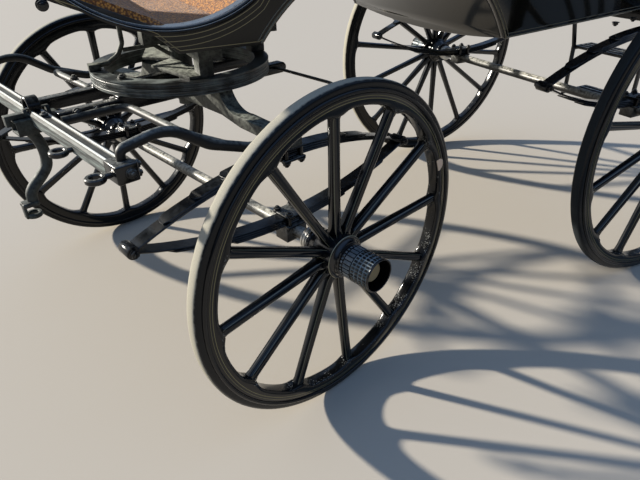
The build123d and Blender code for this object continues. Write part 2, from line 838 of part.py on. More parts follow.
def back_pads():
    """The stuffed rolls strapped inside the rails."""
    pads = []
    x_face = seat_back_x + 5 - pad_setback(driver_seat_z + seat_board, driver_rail_z)
    z = driver_rail_z - pad_drop
    y = driver_seat_half - 60
    pads.append(block((x_face + cushion_gap, x_face + pad_thick), (-y, y), (z - pad_height, z)))
    y_face = bench_half - 15 + pad_setback(bench_z + seat_board, bench_rail_z)
    z = bench_rail_z - pad_drop
    x_ends = bench_rail_ends()
    x = (x_ends[0] + 50, x_ends[1] - 50)
    for side in (-1, 1):
        low, high = sorted((side * (y_face - pad_thick), side * (y_face - cushion_gap)))
        pads.append(block(x, (low, high), (z - pad_height, z)))
    return Compound(pads)


def rear_cross_bar():
    """The bar across the rear springs that the body is bolted down to."""
    half = clamp_length / 2
    low = rear_top_z + clamp_wall
    reach = spring_y + spring_width / 2 + clamp_wall
    return plate_xz([Polyline(
        (-half, low), (half, low), (half, bottom_z(half)), (-half, bottom_z(-half)), close=True)],
        -reach, reach)


def rear_step():
    """Two treads behind the door, hung on flat irons from under the floor."""
    shape = None
    x_low = step_top_x - step_rake
    front = step_top_x + step_palm[0]
    back = step_top_x - step_palm[1]
    z_top = bottom_z(step_top_x)
    half = step_iron / 2
    for side in (-1, 1):
        y = side * step_half
        hanger = plate_xz([Polyline(
            (front, bottom_z(front)), (back, bottom_z(back)), (back, z_top - step_palm_thick),
            (step_top_x - step_bar / 2, z_top - step_side_depth),
            (x_low - step_bar, step_upper_z), (x_low - 1.4 * step_bar, step_lower_z),
            (x_low - 0.4 * step_bar, step_lower_z), (x_low, step_upper_z),
            (step_top_x + step_bar / 2, z_top - step_side_depth), (front, z_top - step_palm_thick),
            close=True)], y - half, y + half)
        shape = hanger if shape is None else shape + hanger
    gap = (step_depth - step_slat) / 3
    for z, x_start in ((step_upper_z, x_low - step_bar), (step_lower_z, x_low - 3 * step_bar)):
        for k in range(4):
            x_bar = x_start - k * gap
            shape += block((x_bar - step_slat, x_bar), (-step_half, step_half), (z - step_slat_thick, z))
        for side in (-1, 1):
            y = side * step_half
            shape += block((x_start - step_depth, x_low), (y - half, y + half),
                           (z - step_side_depth, z))
    return shape


def top_bed():
    """The cross timbers over the upper ring, their legs and irons, and the kingpin with its nut."""
    top = arch_front[1]
    beam_low = top - beam_depth
    reach = ring_outer_r + 45
    shape = block((-beam_half, beam_half), (-reach, reach), (beam_low, top))
    shape += block((-reach, boot_corner_x - king_x), (-beam_half, beam_half), (beam_low, top))
    shape += block((-ring_outer_r, -ring_inner_r), (-rear_leg_half, rear_leg_half), (ring_top, beam_low))
    plate = make_face(Polyline(*king_plate, close=True))
    plate = Pos(0, 0, ring_top) * extrude(plate, amount=king_plate_thick)
    near = block(leg_x, leg_y, (ring_top, beam_low)) + plate
    shape += near + far_side(near)
    shape += upright(0, 0, kingpin_r, bed_bottom - kingpin_nut_height, beam_low)
    shape += upright(0, 0, kingpin_boss_r, ring_bottom + kingpin_boss_low, beam_low)
    shape += upright(0, 0, kingpin_nut_r, bed_bottom - kingpin_nut_height, bed_bottom - 1)
    return shape + bow()


def bow():
    """The bow iron from the front of the upper ring to the boot's underside, with its brace."""
    foot_x = bow_stay[0][0]
    points = [(x, 0, z) for x, z in bow_stay] + [(bow_stay[-1][0], 0, toe[1])]
    iron = bent_iron(points, bow_stay_r, [20, 40, 30])
    iron += block((foot_x - bow_foot, foot_x + bow_foot), (-bow_foot, bow_foot),
                  (ring_top, bow_stay[0][1] + bow_stay_r))
    iron += bent_iron([(x, 0, z) for x, z in brace_path], brace_r, [12])
    above = [(toe[0], 2 * toe[1]), (arch_front[0], 2 * toe[1])]
    boot = plate_xz([Polyline(*boot_path(0), *above, close=True)], -body_half, body_half)
    return iron - Pos(-king_x, 0, 0) * boot


def at_king(shape):
    return Pos(king_x, 0, 0) * shape


def turned_front(shape):
    """Forecarriage pieces, turned about the kingpin as the carriage stands."""
    return Pos(king_x, 0, 0) * Rot(0, 0, steer_rest) * shape


nodes = {}

# Assembly: each wheel in three nodes, its nave and spokes one piece of joinery
for place, wheel_r, count, track, x, turn in (
    ("front", front_wheel_r, front_spokes, front_track, king_x, steer_rest),
    ("rear", rear_wheel_r, rear_spokes, rear_track, 0, 0),
):
    for side, name in ((1, "near"), (-1, "far")):
        for piece, shape in (
            ("tyre", tyre(wheel_r)), ("rim", rim(wheel_r)),
            ("spokes", spider(wheel_r, count, spoke_phases[f"{place}_{name}"])),
        ):
            placed = place_wheel(shape, x, track, wheel_r, side, turn)
            nodes[f"{place}_{piece}_{name}"] = placed

nodes["rear_axle"] = axle(rear_track, rear_wheel_r, axle_block_half, rear_seat_z)
nodes["front_axle"] = turned_front(axle(front_track, front_wheel_r, axle_block_half, front_seat_z))

rear_spring = spring(rear_spring_half, rear_spring_rise, rear_seat_z, rear_eye_z)
front_spring = spring(front_spring_half, front_spring_rise, front_seat_z, front_eye_z)
for side, name in ((1, "near"), (-1, "far")):
    nodes[f"rear_spring_{name}"] = Pos(0, side * spring_y, 0) * rear_spring
    nodes[f"front_spring_{name}"] = turned_front(Pos(0, side * spring_y, 0) * front_spring)

nodes["lower_ring"] = turned_front(ring(ring_bottom, ring_split))
nodes["upper_ring"] = at_king(ring(ring_split + ring_gap, ring_top))
nodes["lower_bed"] = turned_front(lower_bed())
nodes["futchells"] = turned_front(futchells())
for name, iron in (("front_stays", front_stays()), ("rear_stays", rear_stay())):
    nodes[name] = turned_front(Compound([iron, far_side(iron)]))
nodes["splinter_bar"] = turned_front(splinter_bar())
nodes["pole_socket"] = turned_front(pole_socket())
nodes["drop_iron"] = turned_front(drop_iron())
nodes["top_bed"] = at_king(top_bed())

nodes["side_panel_near"] = side_panel()
nodes["side_panel_far"] = far_side(side_panel())
nodes["wheel_arch"] = wheel_arch()
nodes["rear_floor"] = rear_floor()
nodes["boot_floor"] = boot_floor()
nodes["foot_mat"] = foot_mat()
nodes["driver_seat"] = driver_seat()
nodes["bench_near"] = bench()
nodes["bench_far"] = far_side(bench())
nodes["rear_panel"] = rear_panel()
nodes["rear_door"] = rear_door()
nodes["dashboard"] = dashboard()
half = driver_seat_half - cushion_inset
nodes["driver_cushion"] = cushion((seat_back_x + 15, pillar_top_x + 10), (-half, half), cushion_z)
bench_pad = cushion((rear_end_x + 10, seat_back_x - 20), (bench_riser_y - 5, bench_half - bench_rail_clear),
                    bench_cushion_z)
nodes["bench_cushions"] = Compound([bench_pad, far_side(bench_pad)])
nodes["seat_rails"] = rails()
nodes["back_pads"] = back_pads()
nodes["rear_cross_bar"] = rear_cross_bar()
nodes["rear_step"] = rear_step()

# The origin goes to the centre of the bottom of the box
box = Compound(list(nodes.values())).bounding_box()
shift = Pos(-(box.min.X + box.max.X) / 2, -(box.min.Y + box.max.Y) / 2, -box.min.Z)
for name, shape in nodes.items():
    export_step(shift * shape, f"parts/{name}.step")
print("length, width, height", box.size.X, box.size.Y, box.size.Z)
print("shift", shift.position)
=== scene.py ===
import bpy
import math
from mathutils import Matrix, Vector, noise


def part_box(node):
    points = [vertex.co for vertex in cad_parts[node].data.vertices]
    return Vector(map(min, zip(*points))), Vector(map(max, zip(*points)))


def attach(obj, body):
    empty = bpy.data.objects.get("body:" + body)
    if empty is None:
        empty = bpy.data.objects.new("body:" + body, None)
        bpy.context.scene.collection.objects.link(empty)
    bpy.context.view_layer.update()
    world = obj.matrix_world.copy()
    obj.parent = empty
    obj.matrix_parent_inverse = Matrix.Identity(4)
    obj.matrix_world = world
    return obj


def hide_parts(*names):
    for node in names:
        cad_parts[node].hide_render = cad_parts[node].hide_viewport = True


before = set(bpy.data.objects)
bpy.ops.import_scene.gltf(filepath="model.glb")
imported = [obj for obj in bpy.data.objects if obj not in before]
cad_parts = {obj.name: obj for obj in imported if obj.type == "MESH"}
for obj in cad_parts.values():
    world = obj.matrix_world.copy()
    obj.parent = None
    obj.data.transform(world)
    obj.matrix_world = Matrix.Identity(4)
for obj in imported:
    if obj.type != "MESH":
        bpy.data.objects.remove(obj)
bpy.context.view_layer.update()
bpy.ops.object.select_all(action="DESELECT")

# The camera stands at the near front of the carriage, held low, and looks down across the near
# front wheel. Its lens is a phone's wide one.
camera_position = (1.2327, 1.696, 1.25)
camera_angles = (57.966, 0.827, 151.653)
lens_mm = 29.56
sensor_mm = 36
bpy.ops.object.camera_add(location=camera_position,
                          rotation=[math.radians(angle) for angle in camera_angles])
camera = bpy.context.object
camera.data.lens = lens_mm
camera.data.sensor_width = sensor_mm
bpy.context.scene.camera = camera


def linear(code):
    """An sRGB hex colour as the linear colour that a shader takes."""
    channels = [int(code[k:k + 2], 16) / 255 for k in (1, 3, 5)]
    return (*[c / 12.92 if c <= 0.04045 else ((c + 0.055) / 1.055) ** 2.4
              for c in channels], 1)


def add_node(tree, kind, inputs=(), **settings):
    """Adds a node, sets its fields, and sets or links its inputs; hex codes become colours."""
    made = tree.nodes.new(kind)
    for name, value in settings.items():
        setattr(made, name, value)
    for name, value in dict(inputs).items():
        if isinstance(value, bpy.types.NodeSocket):
            tree.links.new(value, made.inputs[name])
        else:
            made.inputs[name].default_value = linear(value) if isinstance(value, str) else value
    return made


def new_material(name, attribute=None):
    """A node material, its tree and the place it is painted by: the object's, or one stored."""
    material = bpy.data.materials.new(name)
    material.use_nodes = True
    tree = material.node_tree
    tree.nodes.clear()
    if attribute:
        place = add_node(tree, "ShaderNodeAttribute", attribute_name=attribute).outputs["Vector"]
    else:
        place = add_node(tree, "ShaderNodeTexCoord").outputs["Object"]
    return material, tree, place


def surface(tree, colour, roughness, relief=None, more=()):
    """Ends a material in a shader; relief is a height socket, its strength and its depth."""
    inputs = {"Base Color": colour, "Roughness": roughness, **dict(more)}
    if relief:
        bumps = dict(zip(("Height", "Strength", "Distance"), relief))
        inputs["Normal"] = add_node(tree, "ShaderNodeBump", bumps).outputs[0]
    shader = add_node(tree, "ShaderNodeBsdfPrincipled", inputs)
    add_node(tree, "ShaderNodeOutputMaterial", {"Surface": shader.outputs[0]})


def ranged(tree, value, start, end, low=0.0, high=1.0):
    """A value between start and end, carried over to between low and high."""
    return add_node(tree, "ShaderNodeMapRange", {"Value": value, "From Min": start, "From Max": end,
                                                 "To Min": low, "To Max": high}).outputs[0]


def mixed(tree, share, first, second):
    """One colour laid over another by a share."""
    return add_node(tree, "ShaderNodeMix", {"Factor": share, 6: first, 7: second},
                    data_type="RGBA").outputs[2]


# The studio: a pale seamless floor, one low sun from the far front that leaves the near side in
# its own shade, and a sky that is light blue overhead and dark lower down, where buildings are
floor_colour = "#b0a99d"
sky_bands = ((0.0, "#b9b7b2"), (0.035, "#8d9196"), (0.11, "#212427"), (0.28, "#5e6f89"),
             (0.6, "#9fc0ef"), (1.0, "#88aee8"))
haze_colour = "#e9eef2"
sun_from = (0.646, -0.696, 0.36)
bpy.ops.mesh.primitive_plane_add(size=60)
floor = bpy.context.object
floor.name = "floor"
floor_paint, tree, place = new_material("floor_paint")
surface(tree, floor_colour, 0.95, more={"Specular IOR Level": 0.1})
floor.data.materials.append(floor_paint)

world = bpy.data.worlds.new("studio")
bpy.context.scene.world = world
world.use_nodes = True
tree = world.node_tree
tree.nodes.clear()
toward = add_node(tree, "ShaderNodeTexCoord").outputs["Generated"]
height = add_node(tree, "ShaderNodeSeparateXYZ", {0: toward}).outputs["Z"]
sky = add_node(tree, "ShaderNodeValToRGB", {0: height})
for index, (level, code) in enumerate(sky_bands):
    if index > 1:
        sky.color_ramp.elements.new(level)
    sky.color_ramp.elements[index].position = level
    sky.color_ramp.elements[index].color = linear(code)
near_sun = add_node(tree, "ShaderNodeVectorMath", {0: toward, 1: Vector(sun_from).normalized()},
                    operation="DOT_PRODUCT").outputs["Value"]
hazy = mixed(tree, ranged(tree, near_sun, 0.45, 1.0, high=0.85), sky.outputs[0], haze_colour)
backdrop = add_node(tree, "ShaderNodeBackground", {"Color": hazy, "Strength": 0.88})
add_node(tree, "ShaderNodeOutputWorld", {"Surface": backdrop.outputs[0]})
bpy.ops.object.light_add(type="SUN",
                         rotation=Vector(sun_from).to_track_quat("Z", "Y").to_euler())
sun = bpy.context.object
sun.data.energy = 9.0
sun.data.color = (1.0, 0.93, 0.82)
sun.data.angle = math.radians(2)
bpy.ops.object.select_all(action="DESELECT")

# The wheels are of ash: felloes with a channelled steel tyre that holds a solid rubber one.
# Each is modelled flat round its own axle, local Y with the nose outboard, then put in place.
millimetre = 0.001
track = {"front": 1.415, "rear": 1.463}
wheel_radius = {"front": 0.465, "rear": 0.581}
spoke_count = {"front": 12, "rear": 14}
spoke_phase = {"front_near": 4.1, "front_far": 1.5, "rear_near": 15.7, "rear_far": 9.0}
wheels = [(end, side) for end in ("front", "rear") for side in ("near", "far")]
steer_rest = math.radians(15.1)
rear_axle_x, king_x = ((low[0] + high[0]) / 2
                       for low, high in (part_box("rear_axle"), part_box("upper_ring")))
body_place = Matrix.Translation((rear_axle_x, 0, 0))
king_place = Matrix.Translation((king_x, 0, 0))
front_place = king_place @ Matrix.Rotation(steer_rest, 4, "Z")
merging = (bpy.ops.mesh.remove_doubles, {"threshold": 0.00002})
outward = (bpy.ops.mesh.normals_make_consistent, {"inside": False})


def named(name):
    """The object that was just made, under its own name."""
    piece = bpy.context.object
    piece.name = name
    return piece


def select(piece):
    """Makes a piece the only one that the next operator works on."""
    bpy.ops.object.select_all(action="DESELECT")
    bpy.context.view_layer.objects.active = piece
    piece.select_set(True)


def whole_mesh(*steps):
    """Runs mesh operators, each with its settings, on all of the active piece."""
    bpy.ops.object.mode_set(mode="EDIT")
    for operator, settings in steps:
        bpy.ops.mesh.select_all(action="SELECT")
        operator(**settings)
    bpy.ops.object.mode_set(mode="OBJECT")


def block(name, middle, size, edge=0.0, segments=2):
    """A box of a size about its middle, its edges rounded off if an edge is given."""
    bpy.ops.mesh.primitive_cube_add(size=1)
    piece = named(name)
    piece.data.transform(Matrix.Translation(middle) @ Matrix.Diagonal((*size, 1)))
    if edge:
        whole_mesh((bpy.ops.mesh.bevel, {"offset": edge, "segments": segments}))
    return piece


def turn_on_axle(name, outline, steps):
    """Turns a closed outline of (radius, place along the axle) once round the axle."""
    bpy.ops.mesh.primitive_circle_add(vertices=len(outline), radius=0.01)
    piece = named(name)
    for vertex, (radius, along) in zip(piece.data.vertices, outline):
        vertex.co = (radius, along, 0)
    once = {"steps": steps, "angle": 2 * math.pi, "center": (0, 0, 0), "axis": (0, 1, 0)}
    whole_mesh((bpy.ops.mesh.spin, once), merging, outward)
    return piece


def sheet(name, rows):
    """A grid laid on rows of points."""
    bpy.ops.mesh.primitive_grid_add(x_subdivisions=len(rows[0]) - 1, y_subdivisions=len(rows) - 1)
    piece = named(name)
    for vertex, point in zip(piece.data.vertices, [point for row in rows for point in row]):
        vertex.co = point
    return piece


def skin(name, rows):
    """A sheet laid round a bar, its long edges joined and its ends capped."""
    piece = sheet(name, [[*row, row[0]] for row in rows])
    whole_mesh(merging, (bpy.ops.mesh.fill_holes, {"sides": 0}), outward)
    return piece


def smooth(piece, degrees):
    """Shades a piece smooth but for the edges that turn more sharply."""
    select(piece)
    bpy.ops.object.shade_smooth_by_angle(angle=math.radians(degrees))
    return piece


def join(pieces, degrees=None, name=None):
    """Makes one object of several, under its own name or the first one's, smooth if need be."""
    select(pieces[0])
    for piece in pieces:
        piece.select_set(True)
    bpy.ops.object.join()
    whole = named(name or pieces[0].name)
    return smooth(whole, degrees) if degrees else whole


def copied(piece, matrix, name=None):
    """A copy with its own mesh, moved within that mesh."""
    twin = piece.copy()
    twin.data = piece.data.copy()
    twin.data.transform(matrix)
    if name:
        twin.name = name
    bpy.context.collection.objects.link(twin)
    return twin


def store(piece, name, vectors):
    """Stores a vector at each point of a piece, for its material to read."""
    layer = piece.data.attributes.new(name, "FLOAT_VECTOR", "POINT")
    layer.data.foreach_set("vector", [value for vector in vectors for value in vector])


def dress(piece, paint, body, node=None, place=None):
    """Puts a piece in place, paints it, fixes it to its body and lets it stand for a CAD piece."""
    if place is not None:
        piece.data.transform(place)
    piece.data.materials.clear()
    piece.data.materials.append(paint)
    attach(piece, body)
    if node:
        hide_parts(node)


def wheel_place(end, side):
    """The matrix that carries a wheel modelled at the origin to its axle's end."""
    sign = 1 if side == "near" else -1
    out = Matrix.Translation((0, sign * track[end] / 2, wheel_radius[end]))
    turn = Matrix.Rotation(0 if sign > 0 else math.pi, 4, "Z")
    return (front_place if end == "front" else body_place) @ out @ turn


def math_node(tree, operation, *values):
    """A Math node on sockets or numbers; returns its result socket."""
    return add_node(tree, "ShaderNodeMath", dict(enumerate(values)), operation=operation).outputs[0]


def product(tree, first, *others):
    """Several values multiplied together."""
    for other in others:
        first = math_node(tree, "MULTIPLY", first, other)
    return first


def within(tree, value, low, high, edge):
    """1 where a value lies between two bounds, with soft edges of the given width."""
    return product(tree, ranged(tree, value, low - edge / 2, low + edge / 2),
                   ranged(tree, value, high + edge / 2, high - edge / 2))


def grain(tree, vector, scale, detail=4.0, roughness=0.6):
    """A noise pattern's value, with its scale in patches per metre."""
    return add_node(tree, "ShaderNodeTexNoise", {"Vector": vector, "Scale": scale, "Detail": detail,
                                                 "Roughness": roughness}).outputs[0]


def wavering(tree, value, pattern, width):
    """A value moved to and fro by a pattern, over a width in all."""
    shift = math_node(tree, "MULTIPLY_ADD", pattern, width, -width / 2)
    return math_node(tree, "ADD", value, shift)


def cells(tree, vector, scale):
    """How far each spot lies from the middle of its cell, in a pattern of rounded cells."""
    return add_node(tree, "ShaderNodeTexVoronoi",
                    {"Vector": vector, "Scale": scale}).outputs["Distance"]


def drawn_out(tree, vector, scales, detail, roughness=0.7):
    """A noise pattern's value, with its own scale along each axis."""
    longer = add_node(tree, "ShaderNodeVectorMath", {0: vector, 1: scales}, operation="MULTIPLY")
    return grain(tree, longer.outputs[0], 1.0, detail, roughness)


def split(tree, vector):
    """A vector's three parts."""
    return add_node(tree, "ShaderNodeSeparateXYZ", {0: vector}).outputs


def round_axle(tree, place):
    """A place in a wheel's plane, how far it is from the axle, and how far along the axle."""
    parts = split(tree, place)
    flat = add_node(tree, "ShaderNodeCombineXYZ", {"X": parts["X"], "Z": parts["Z"]}).outputs[0]
    reach = add_node(tree, "ShaderNodeVectorMath", {0: flat}, operation="LENGTH").outputs["Value"]
    return flat, reach, parts["Y"]


# Vulcanised rubber, moulded smooth and near black. Road dust lies ground into the tread, with
# a soft edge where the side begins; the near hind tyre's tread is painted much darker.
tread_half = 0.0135


def tyre_rubber(name, dust_codes):
    """Black rubber with dust between two tones on its tread."""
    material, tree, place = new_material(name, "wheel_place")
    blotch = grain(tree, place, 60.0)
    from_middle = math_node(tree, "ABSOLUTE", split(tree, place)["Y"])
    from_middle = wavering(tree, from_middle, blotch, 0.006)
    on_tread = within(tree, from_middle, -1.0, tread_half, 0.0035)
    fine = grain(tree, place, 700.0, detail=6.0)
    film = mixed(tree, blotch, "#05070a", "#111417")
    colour = mixed(tree, on_tread, film, mixed(tree, fine, *dust_codes))
    surface(tree, colour, ranged(tree, on_tread, 0, 1, 0.22, 0.9), (fine, 0.25, 0.0006),
            {"Specular IOR Level": 0.22})
    return material


rubber = tyre_rubber("tyre_rubber", ("#6a675c", "#b3afa0"))
dark_tread_rubber = tyre_rubber("dark_tread_tyre_rubber", ("#0d1012", "#2b3033"))

# Gloss coach enamel on wood and iron, brushed and rubbed smooth: blue-black where it mirrors
# the sky. Two thin dull gold lines are drawn on the felloe's face, and the bore is worn.
felloe_lines = ((0.0094, 0.0010), (0.016, 0.0016))
chips = {"front": ((-0.384, 0, 0.148), 0.019)}
tyre_depth = 0.028


def wheel_enamel(end):
    """The felloes' gloss paint on the front or the rear wheels."""
    material, tree, place = new_material(f"felloe_enamel_{end}", "wheel_place")
    flat, reach, along = round_axle(tree, place)
    facing = within(tree, along, 0.0195, 1.0, 0.001)
    blotch = grain(tree, place, 25.0)
    fine = grain(tree, place, 260.0, detail=6.0)
    colour = mixed(tree, blotch, "#040608", "#0c0c0d")
    outer = wheel_radius[end] - tyre_depth
    for inset, width in felloe_lines:
        line = within(tree, reach, outer - inset - width / 2, outer - inset + width / 2, 0.0004)
        colour = mixed(tree, product(tree, line, facing), colour, "#77704c")
    bore = within(tree, reach, outer - 0.06, outer - 0.029, 0.002)
    worn = product(tree, ranged(tree, fine, 0.56, 0.62), ranged(tree, blotch, 0.5, 0.58), bore)
    colour = mixed(tree, worn, colour, "#7b7c78")
    if end in chips:
        middle, size = chips[end]
        apart = add_node(tree, "ShaderNodeVectorMath", {0: flat, 1: middle},
                         operation="DISTANCE").outputs["Value"]
        chip = within(tree, wavering(tree, apart, fine, 0.016), -1.0, size, 0.001)
        colour = mixed(tree, product(tree, chip, facing), colour, "#d9bfa6")
    surface(tree, colour, ranged(tree, blotch, 0, 1, 0.08, 0.24), (fine, 0.08, 0.0004),
            {"Specular IOR Level": 0.34})
    return material


felloe_paint = {end: wheel_enamel(end) for end in wheel_radius}

# The spokes wear the same enamel, with a fine line near each edge of the face
spoke_paint, tree, place = new_material("spoke_enamel", "wheel_place")
spot = add_node(tree, "ShaderNodeAttribute", attribute_name="spoke_place").outputs["Vector"]
parts = split(tree, spot)
blotch = grain(tree, place, 18.0)
line = product(tree, within(tree, math_node(tree, "ABSOLUTE", parts["X"]), 0.7, 0.79, 0.03),
               within(tree, parts["Y"], 0.2, 2.0, 0.05))
colour = mixed(tree, line, mixed(tree, blotch, "#040609", "#090c10"), "#5d5d4c")
surface(tree, colour, ranged(tree, blotch, 0, 1, 0.06, 0.18), more={"Specular IOR Level": 0.42})

channel_depth = 0.009
felloe_depth = 0.033
spoke_dish = 0.022
nave_radius = 0.062
nose_radius = 0.045


def mirrored(half):
    """A closed outline from its half of (radius, place along the axle)."""
    return half + [(radius, -along) for radius, along in half[:0:-1]]


def make_tyre(radius, name):
    """Rubber with a flat tread and rounded shoulders, seated between the channel's lips."""
    base = radius - tyre_depth
    shoulder = [(radius - drop, along) for drop, along in (
        (0, 0.0), (0, 0.0065), (0.0008, 0.0108), (0.0024, 0.0142), (0.0052, 0.0170),
        (0.0088, 0.0186))]
    outline = mirrored(shoulder + [(base + channel_depth, 0.019), (base, 0.019)])
    return smooth(turn_on_axle(name, outline, 160), 50)


def make_felloe(radius, name, count, phase):
    """The wooden rim with rounded inner edges that swell round each spoke's foot, and its
    channel tyre standing proud as a rolled bead on both sides."""
    base = radius - tyre_depth
    inner = base - felloe_depth
    half = [(inner, 0.0), (inner, 0.014), (inner + 0.0015, 0.0185), (inner + 0.005, 0.0213),
            (inner + 0.009, 0.0216), (base - 0.0035, 0.0212)]
    for step in range(7):
        angle = math.pi * step / 6
        half.append((base + 0.0035 - 0.0055 * math.cos(angle), 0.0205 + 0.0042 * math.sin(angle)))
    half += [(base + channel_depth, 0.0193), (base, 0.0193)]
    felloe = turn_on_axle(name, mirrored(half), 12 * count)
    pitch = 2 * math.pi / count
    for vertex in felloe.data.vertices:
        x, y, z = vertex.co
        reach = math.hypot(x, z)
        depth = base - 0.004 - reach
        if depth > 0:
            angle = math.atan2(-z, x) - math.radians(phase)
            away = abs((angle + pitch / 2) % pitch - pitch / 2) * reach
            swell = 0.014 * math.exp(-(away / 0.026) ** 2) * depth / felloe_depth
            vertex.co = (x * (reach - swell) / reach, y, z * (reach - swell) / reach)
    return smooth(felloe, 40)


# A spoke's section, ridged down its face, as (across, out); then its stations along the spoke:
# the share of its length, half width, half thickness, and how square it is
spoke_section = ((-1, 0.15), (-0.8, 0.62), (-0.42, 0.86), (0, 1), (0.42, 0.86), (0.8, 0.62),
                 (1, 0.15), (0.97, -0.35), (0.7, -0.8), (0, -1), (-0.7, -0.8), (-0.97, -0.35))
spoke_stations = ((0.0, 13.5, 18, 1), (0.03, 13.5, 18, 1), (0.09, 13, 18, 0.2), (0.35, 13, 17, 0),
                  (0.7, 13.5, 15, 0), (0.93, 14.5, 14, 0), (0.975, 15.5, 13.5, 0.7),
                  (1.0, 15.5, 13.5, 1))


def make_spokes(radius, name, count, phase):
    """A wheel's spokes: a squared foot at each end, and a slim body that leans to the hub."""
    start = nave_radius - 0.012
    end = radius - tyre_depth - felloe_depth + 0.004
    rows = []
    for share, width, thick, square in spoke_stations:
        ring = []
        for across, out in spoke_section:
            u = across + (max(-1, min(1, across * 1.3)) - across) * square
            w = out + (max(-1, min(1, out * 1.5)) - out) * square
            ring.append((start + share * (end - start),
                         w * thick * millimetre - spoke_dish * (1 - share), u * width * millimetre))
        rows.append(ring)
    pieces = []
    for k in range(count):
        spoke = skin(name, rows)
        spots = []
        for x, y, z in [vertex.co for vertex in spoke.data.vertices]:
            share = (x - start) / (end - start)
            spots.append((z / 0.0138, (y + spoke_dish * (1 - share)) / 0.016, share))
        store(spoke, "spoke_place", spots)
        spoke.data.transform(Matrix.Rotation(math.radians(phase + 360 / count * k), 4, "Y"))
        pieces.append(spoke)
    return join(pieces, 40)


# The hub: a turned iron-bound nave with a collar in front, and a cast nose whose sides are cut
# in a row of squares, a row of long flats and four more of squares, with dust and a painted
# highlight in the cuts and a painted reflection of the sky on the first rows' tops. Its end is
# open round a dust cap, in a well painted near black as painted shade. Outline as (radius,
# place along the axle).
hub_outline = [
    (0.0205, -0.1), (0.043, -0.1), (0.045, -0.098), (0.045, -0.09), (0.043, -0.088),
    (0.0445, -0.085), (0.052, -0.064), (0.0535, -0.062), (0.0535, -0.055), (0.057, -0.053),
    (0.0605, -0.050), (0.0605, 0.004), (0.0605, 0.0055), (0.0625, 0.0065), (0.0625, 0.0125),
    (0.061, 0.0145), (0.058, 0.0155), (0.0545, 0.0175), (0.0515, 0.0215), (0.0500, 0.027),
    (0.0485, 0.0275), (0.0485, 0.031), (0.0455, 0.0325), (0.0435, 0.0335), (0.0435, 0.1285),
    (0.0462, 0.1290), (0.0466, 0.1300), (0.0466, 0.1335), (0.0458, 0.135), (0.0438, 0.135),
    (0.0426, 0.1338), (0.0426, 0.100), (0.0262, 0.100), (0.0262, 0.1125), (0.0248, 0.1135),
    (0.0, 0.1135), (0.0, 0.095), (0.0205, 0.095)]
# Each row's start, end, how much of the way round its blocks fill, and their number
knurl_rows = ((0.0465, 0.0705, 0.8, 24), (0.0370, 0.0430, 0.62, 30), (0.0755, 0.0847, 0.62, 30),
              (0.0890, 0.0982, 0.62, 30), (0.1025, 0.1117, 0.62, 30), (0.1160, 0.1252, 0.62, 30))


def make_knurl(name):
    """Raised blocks with bevelled edges, in rows round the nose."""
    blocks = []
    for start, end, across, count in knurl_rows:
        size = (0.0046, end - start, 2 * math.pi * nose_radius / count * across)
        blocks.append(block(name, (nose_radius - 0.001, (start + end) / 2, 0), size, 0.0008))
        blocks += [copied(blocks[-1], Matrix.Rotation(2 * math.pi * k / count, 4, "Y"))
                   for k in range(1, count)]
    return join(blocks, name=name)


hub_paint, tree, place = new_material("hub_enamel", "wheel_place")
reach, along = round_axle(tree, place)[1:]
blotch = grain(tree, place, 90.0)
collar_line, cut_dust_and_highlight, painted_sky_reflection_tops, cap, painted_shade_well = [
    product(tree, within(tree, reach, *radii), within(tree, along, *span)) for radii, span in (
        ((0.0612, 0.064, 0.0006), (0.0128, 0.0152, 0.0005)),
        ((0.0430, 0.0447, 0.0006), (0.072, 0.1285, 0.0006)),
        ((0.0458, 0.050, 0.0004), (0.036, 0.0715, 0.0006)),
        ((-1.0, 0.0262, 0.0004), (0.108, 0.2, 0.0006)),
        ((0.0263, 0.0431, 0.0003), (0.099, 0.1342, 0.0004)))]
colour = mixed(tree, blotch, "#04060a", "#0b0e12")
# The pale cuts are dust and a painted highlight, the pale tops of the first two rows a painted
# reflection of the sky, and the well round the dust cap is painted near black as painted shade
for share, code in ((collar_line, "#8f8b70"), (product(tree, cut_dust_and_highlight, blotch), "#b3c0c4"),
                    (product(tree, painted_sky_reflection_tops, blotch), "#7d8a92"), (cap, "#8f8266"), (painted_shade_well, "#020202")):
    colour = mixed(tree, share, colour, code)
dull = math_node(tree, "MAXIMUM", math_node(tree, "MAXIMUM", cap, painted_shade_well), cut_dust_and_highlight)
rough = math_node(tree, "MAXIMUM", ranged(tree, blotch, 0, 1, 0.12, 0.28), product(tree, dull, 0.8))
surface(tree, colour, rough, more={"Specular IOR Level": ranged(tree, dull, 0, 1, 0.55, 0.06)})

for end, side in wheels:
    radius, count, wheel = wheel_radius[end], spoke_count[end], f"{end}_{side}"
    phase = spoke_phase[wheel]
    tyre_paint = dark_tread_rubber if wheel == "rear_near" else rubber
    for piece, paint, part in (
        (make_tyre(radius, wheel + "_rubber"), tyre_paint, "tyre"),
        (make_felloe(radius, wheel + "_felloe", count, phase), felloe_paint[end], "rim"),
        (make_spokes(radius, wheel + "_spokes_turned", count, phase), spoke_paint, "spokes"),
        (smooth(turn_on_axle(wheel + "_hub", hub_outline, 72), 30), hub_paint, None),
        (make_knurl(wheel + "_knurl"), hub_paint, None),
    ):
        store(piece, "wheel_place", [vertex.co for vertex in piece.data.vertices])
        dress(piece, paint, f"wheel_{wheel}", f"{end}_{part}_{side}" if part else None,
              wheel_place(end, side))
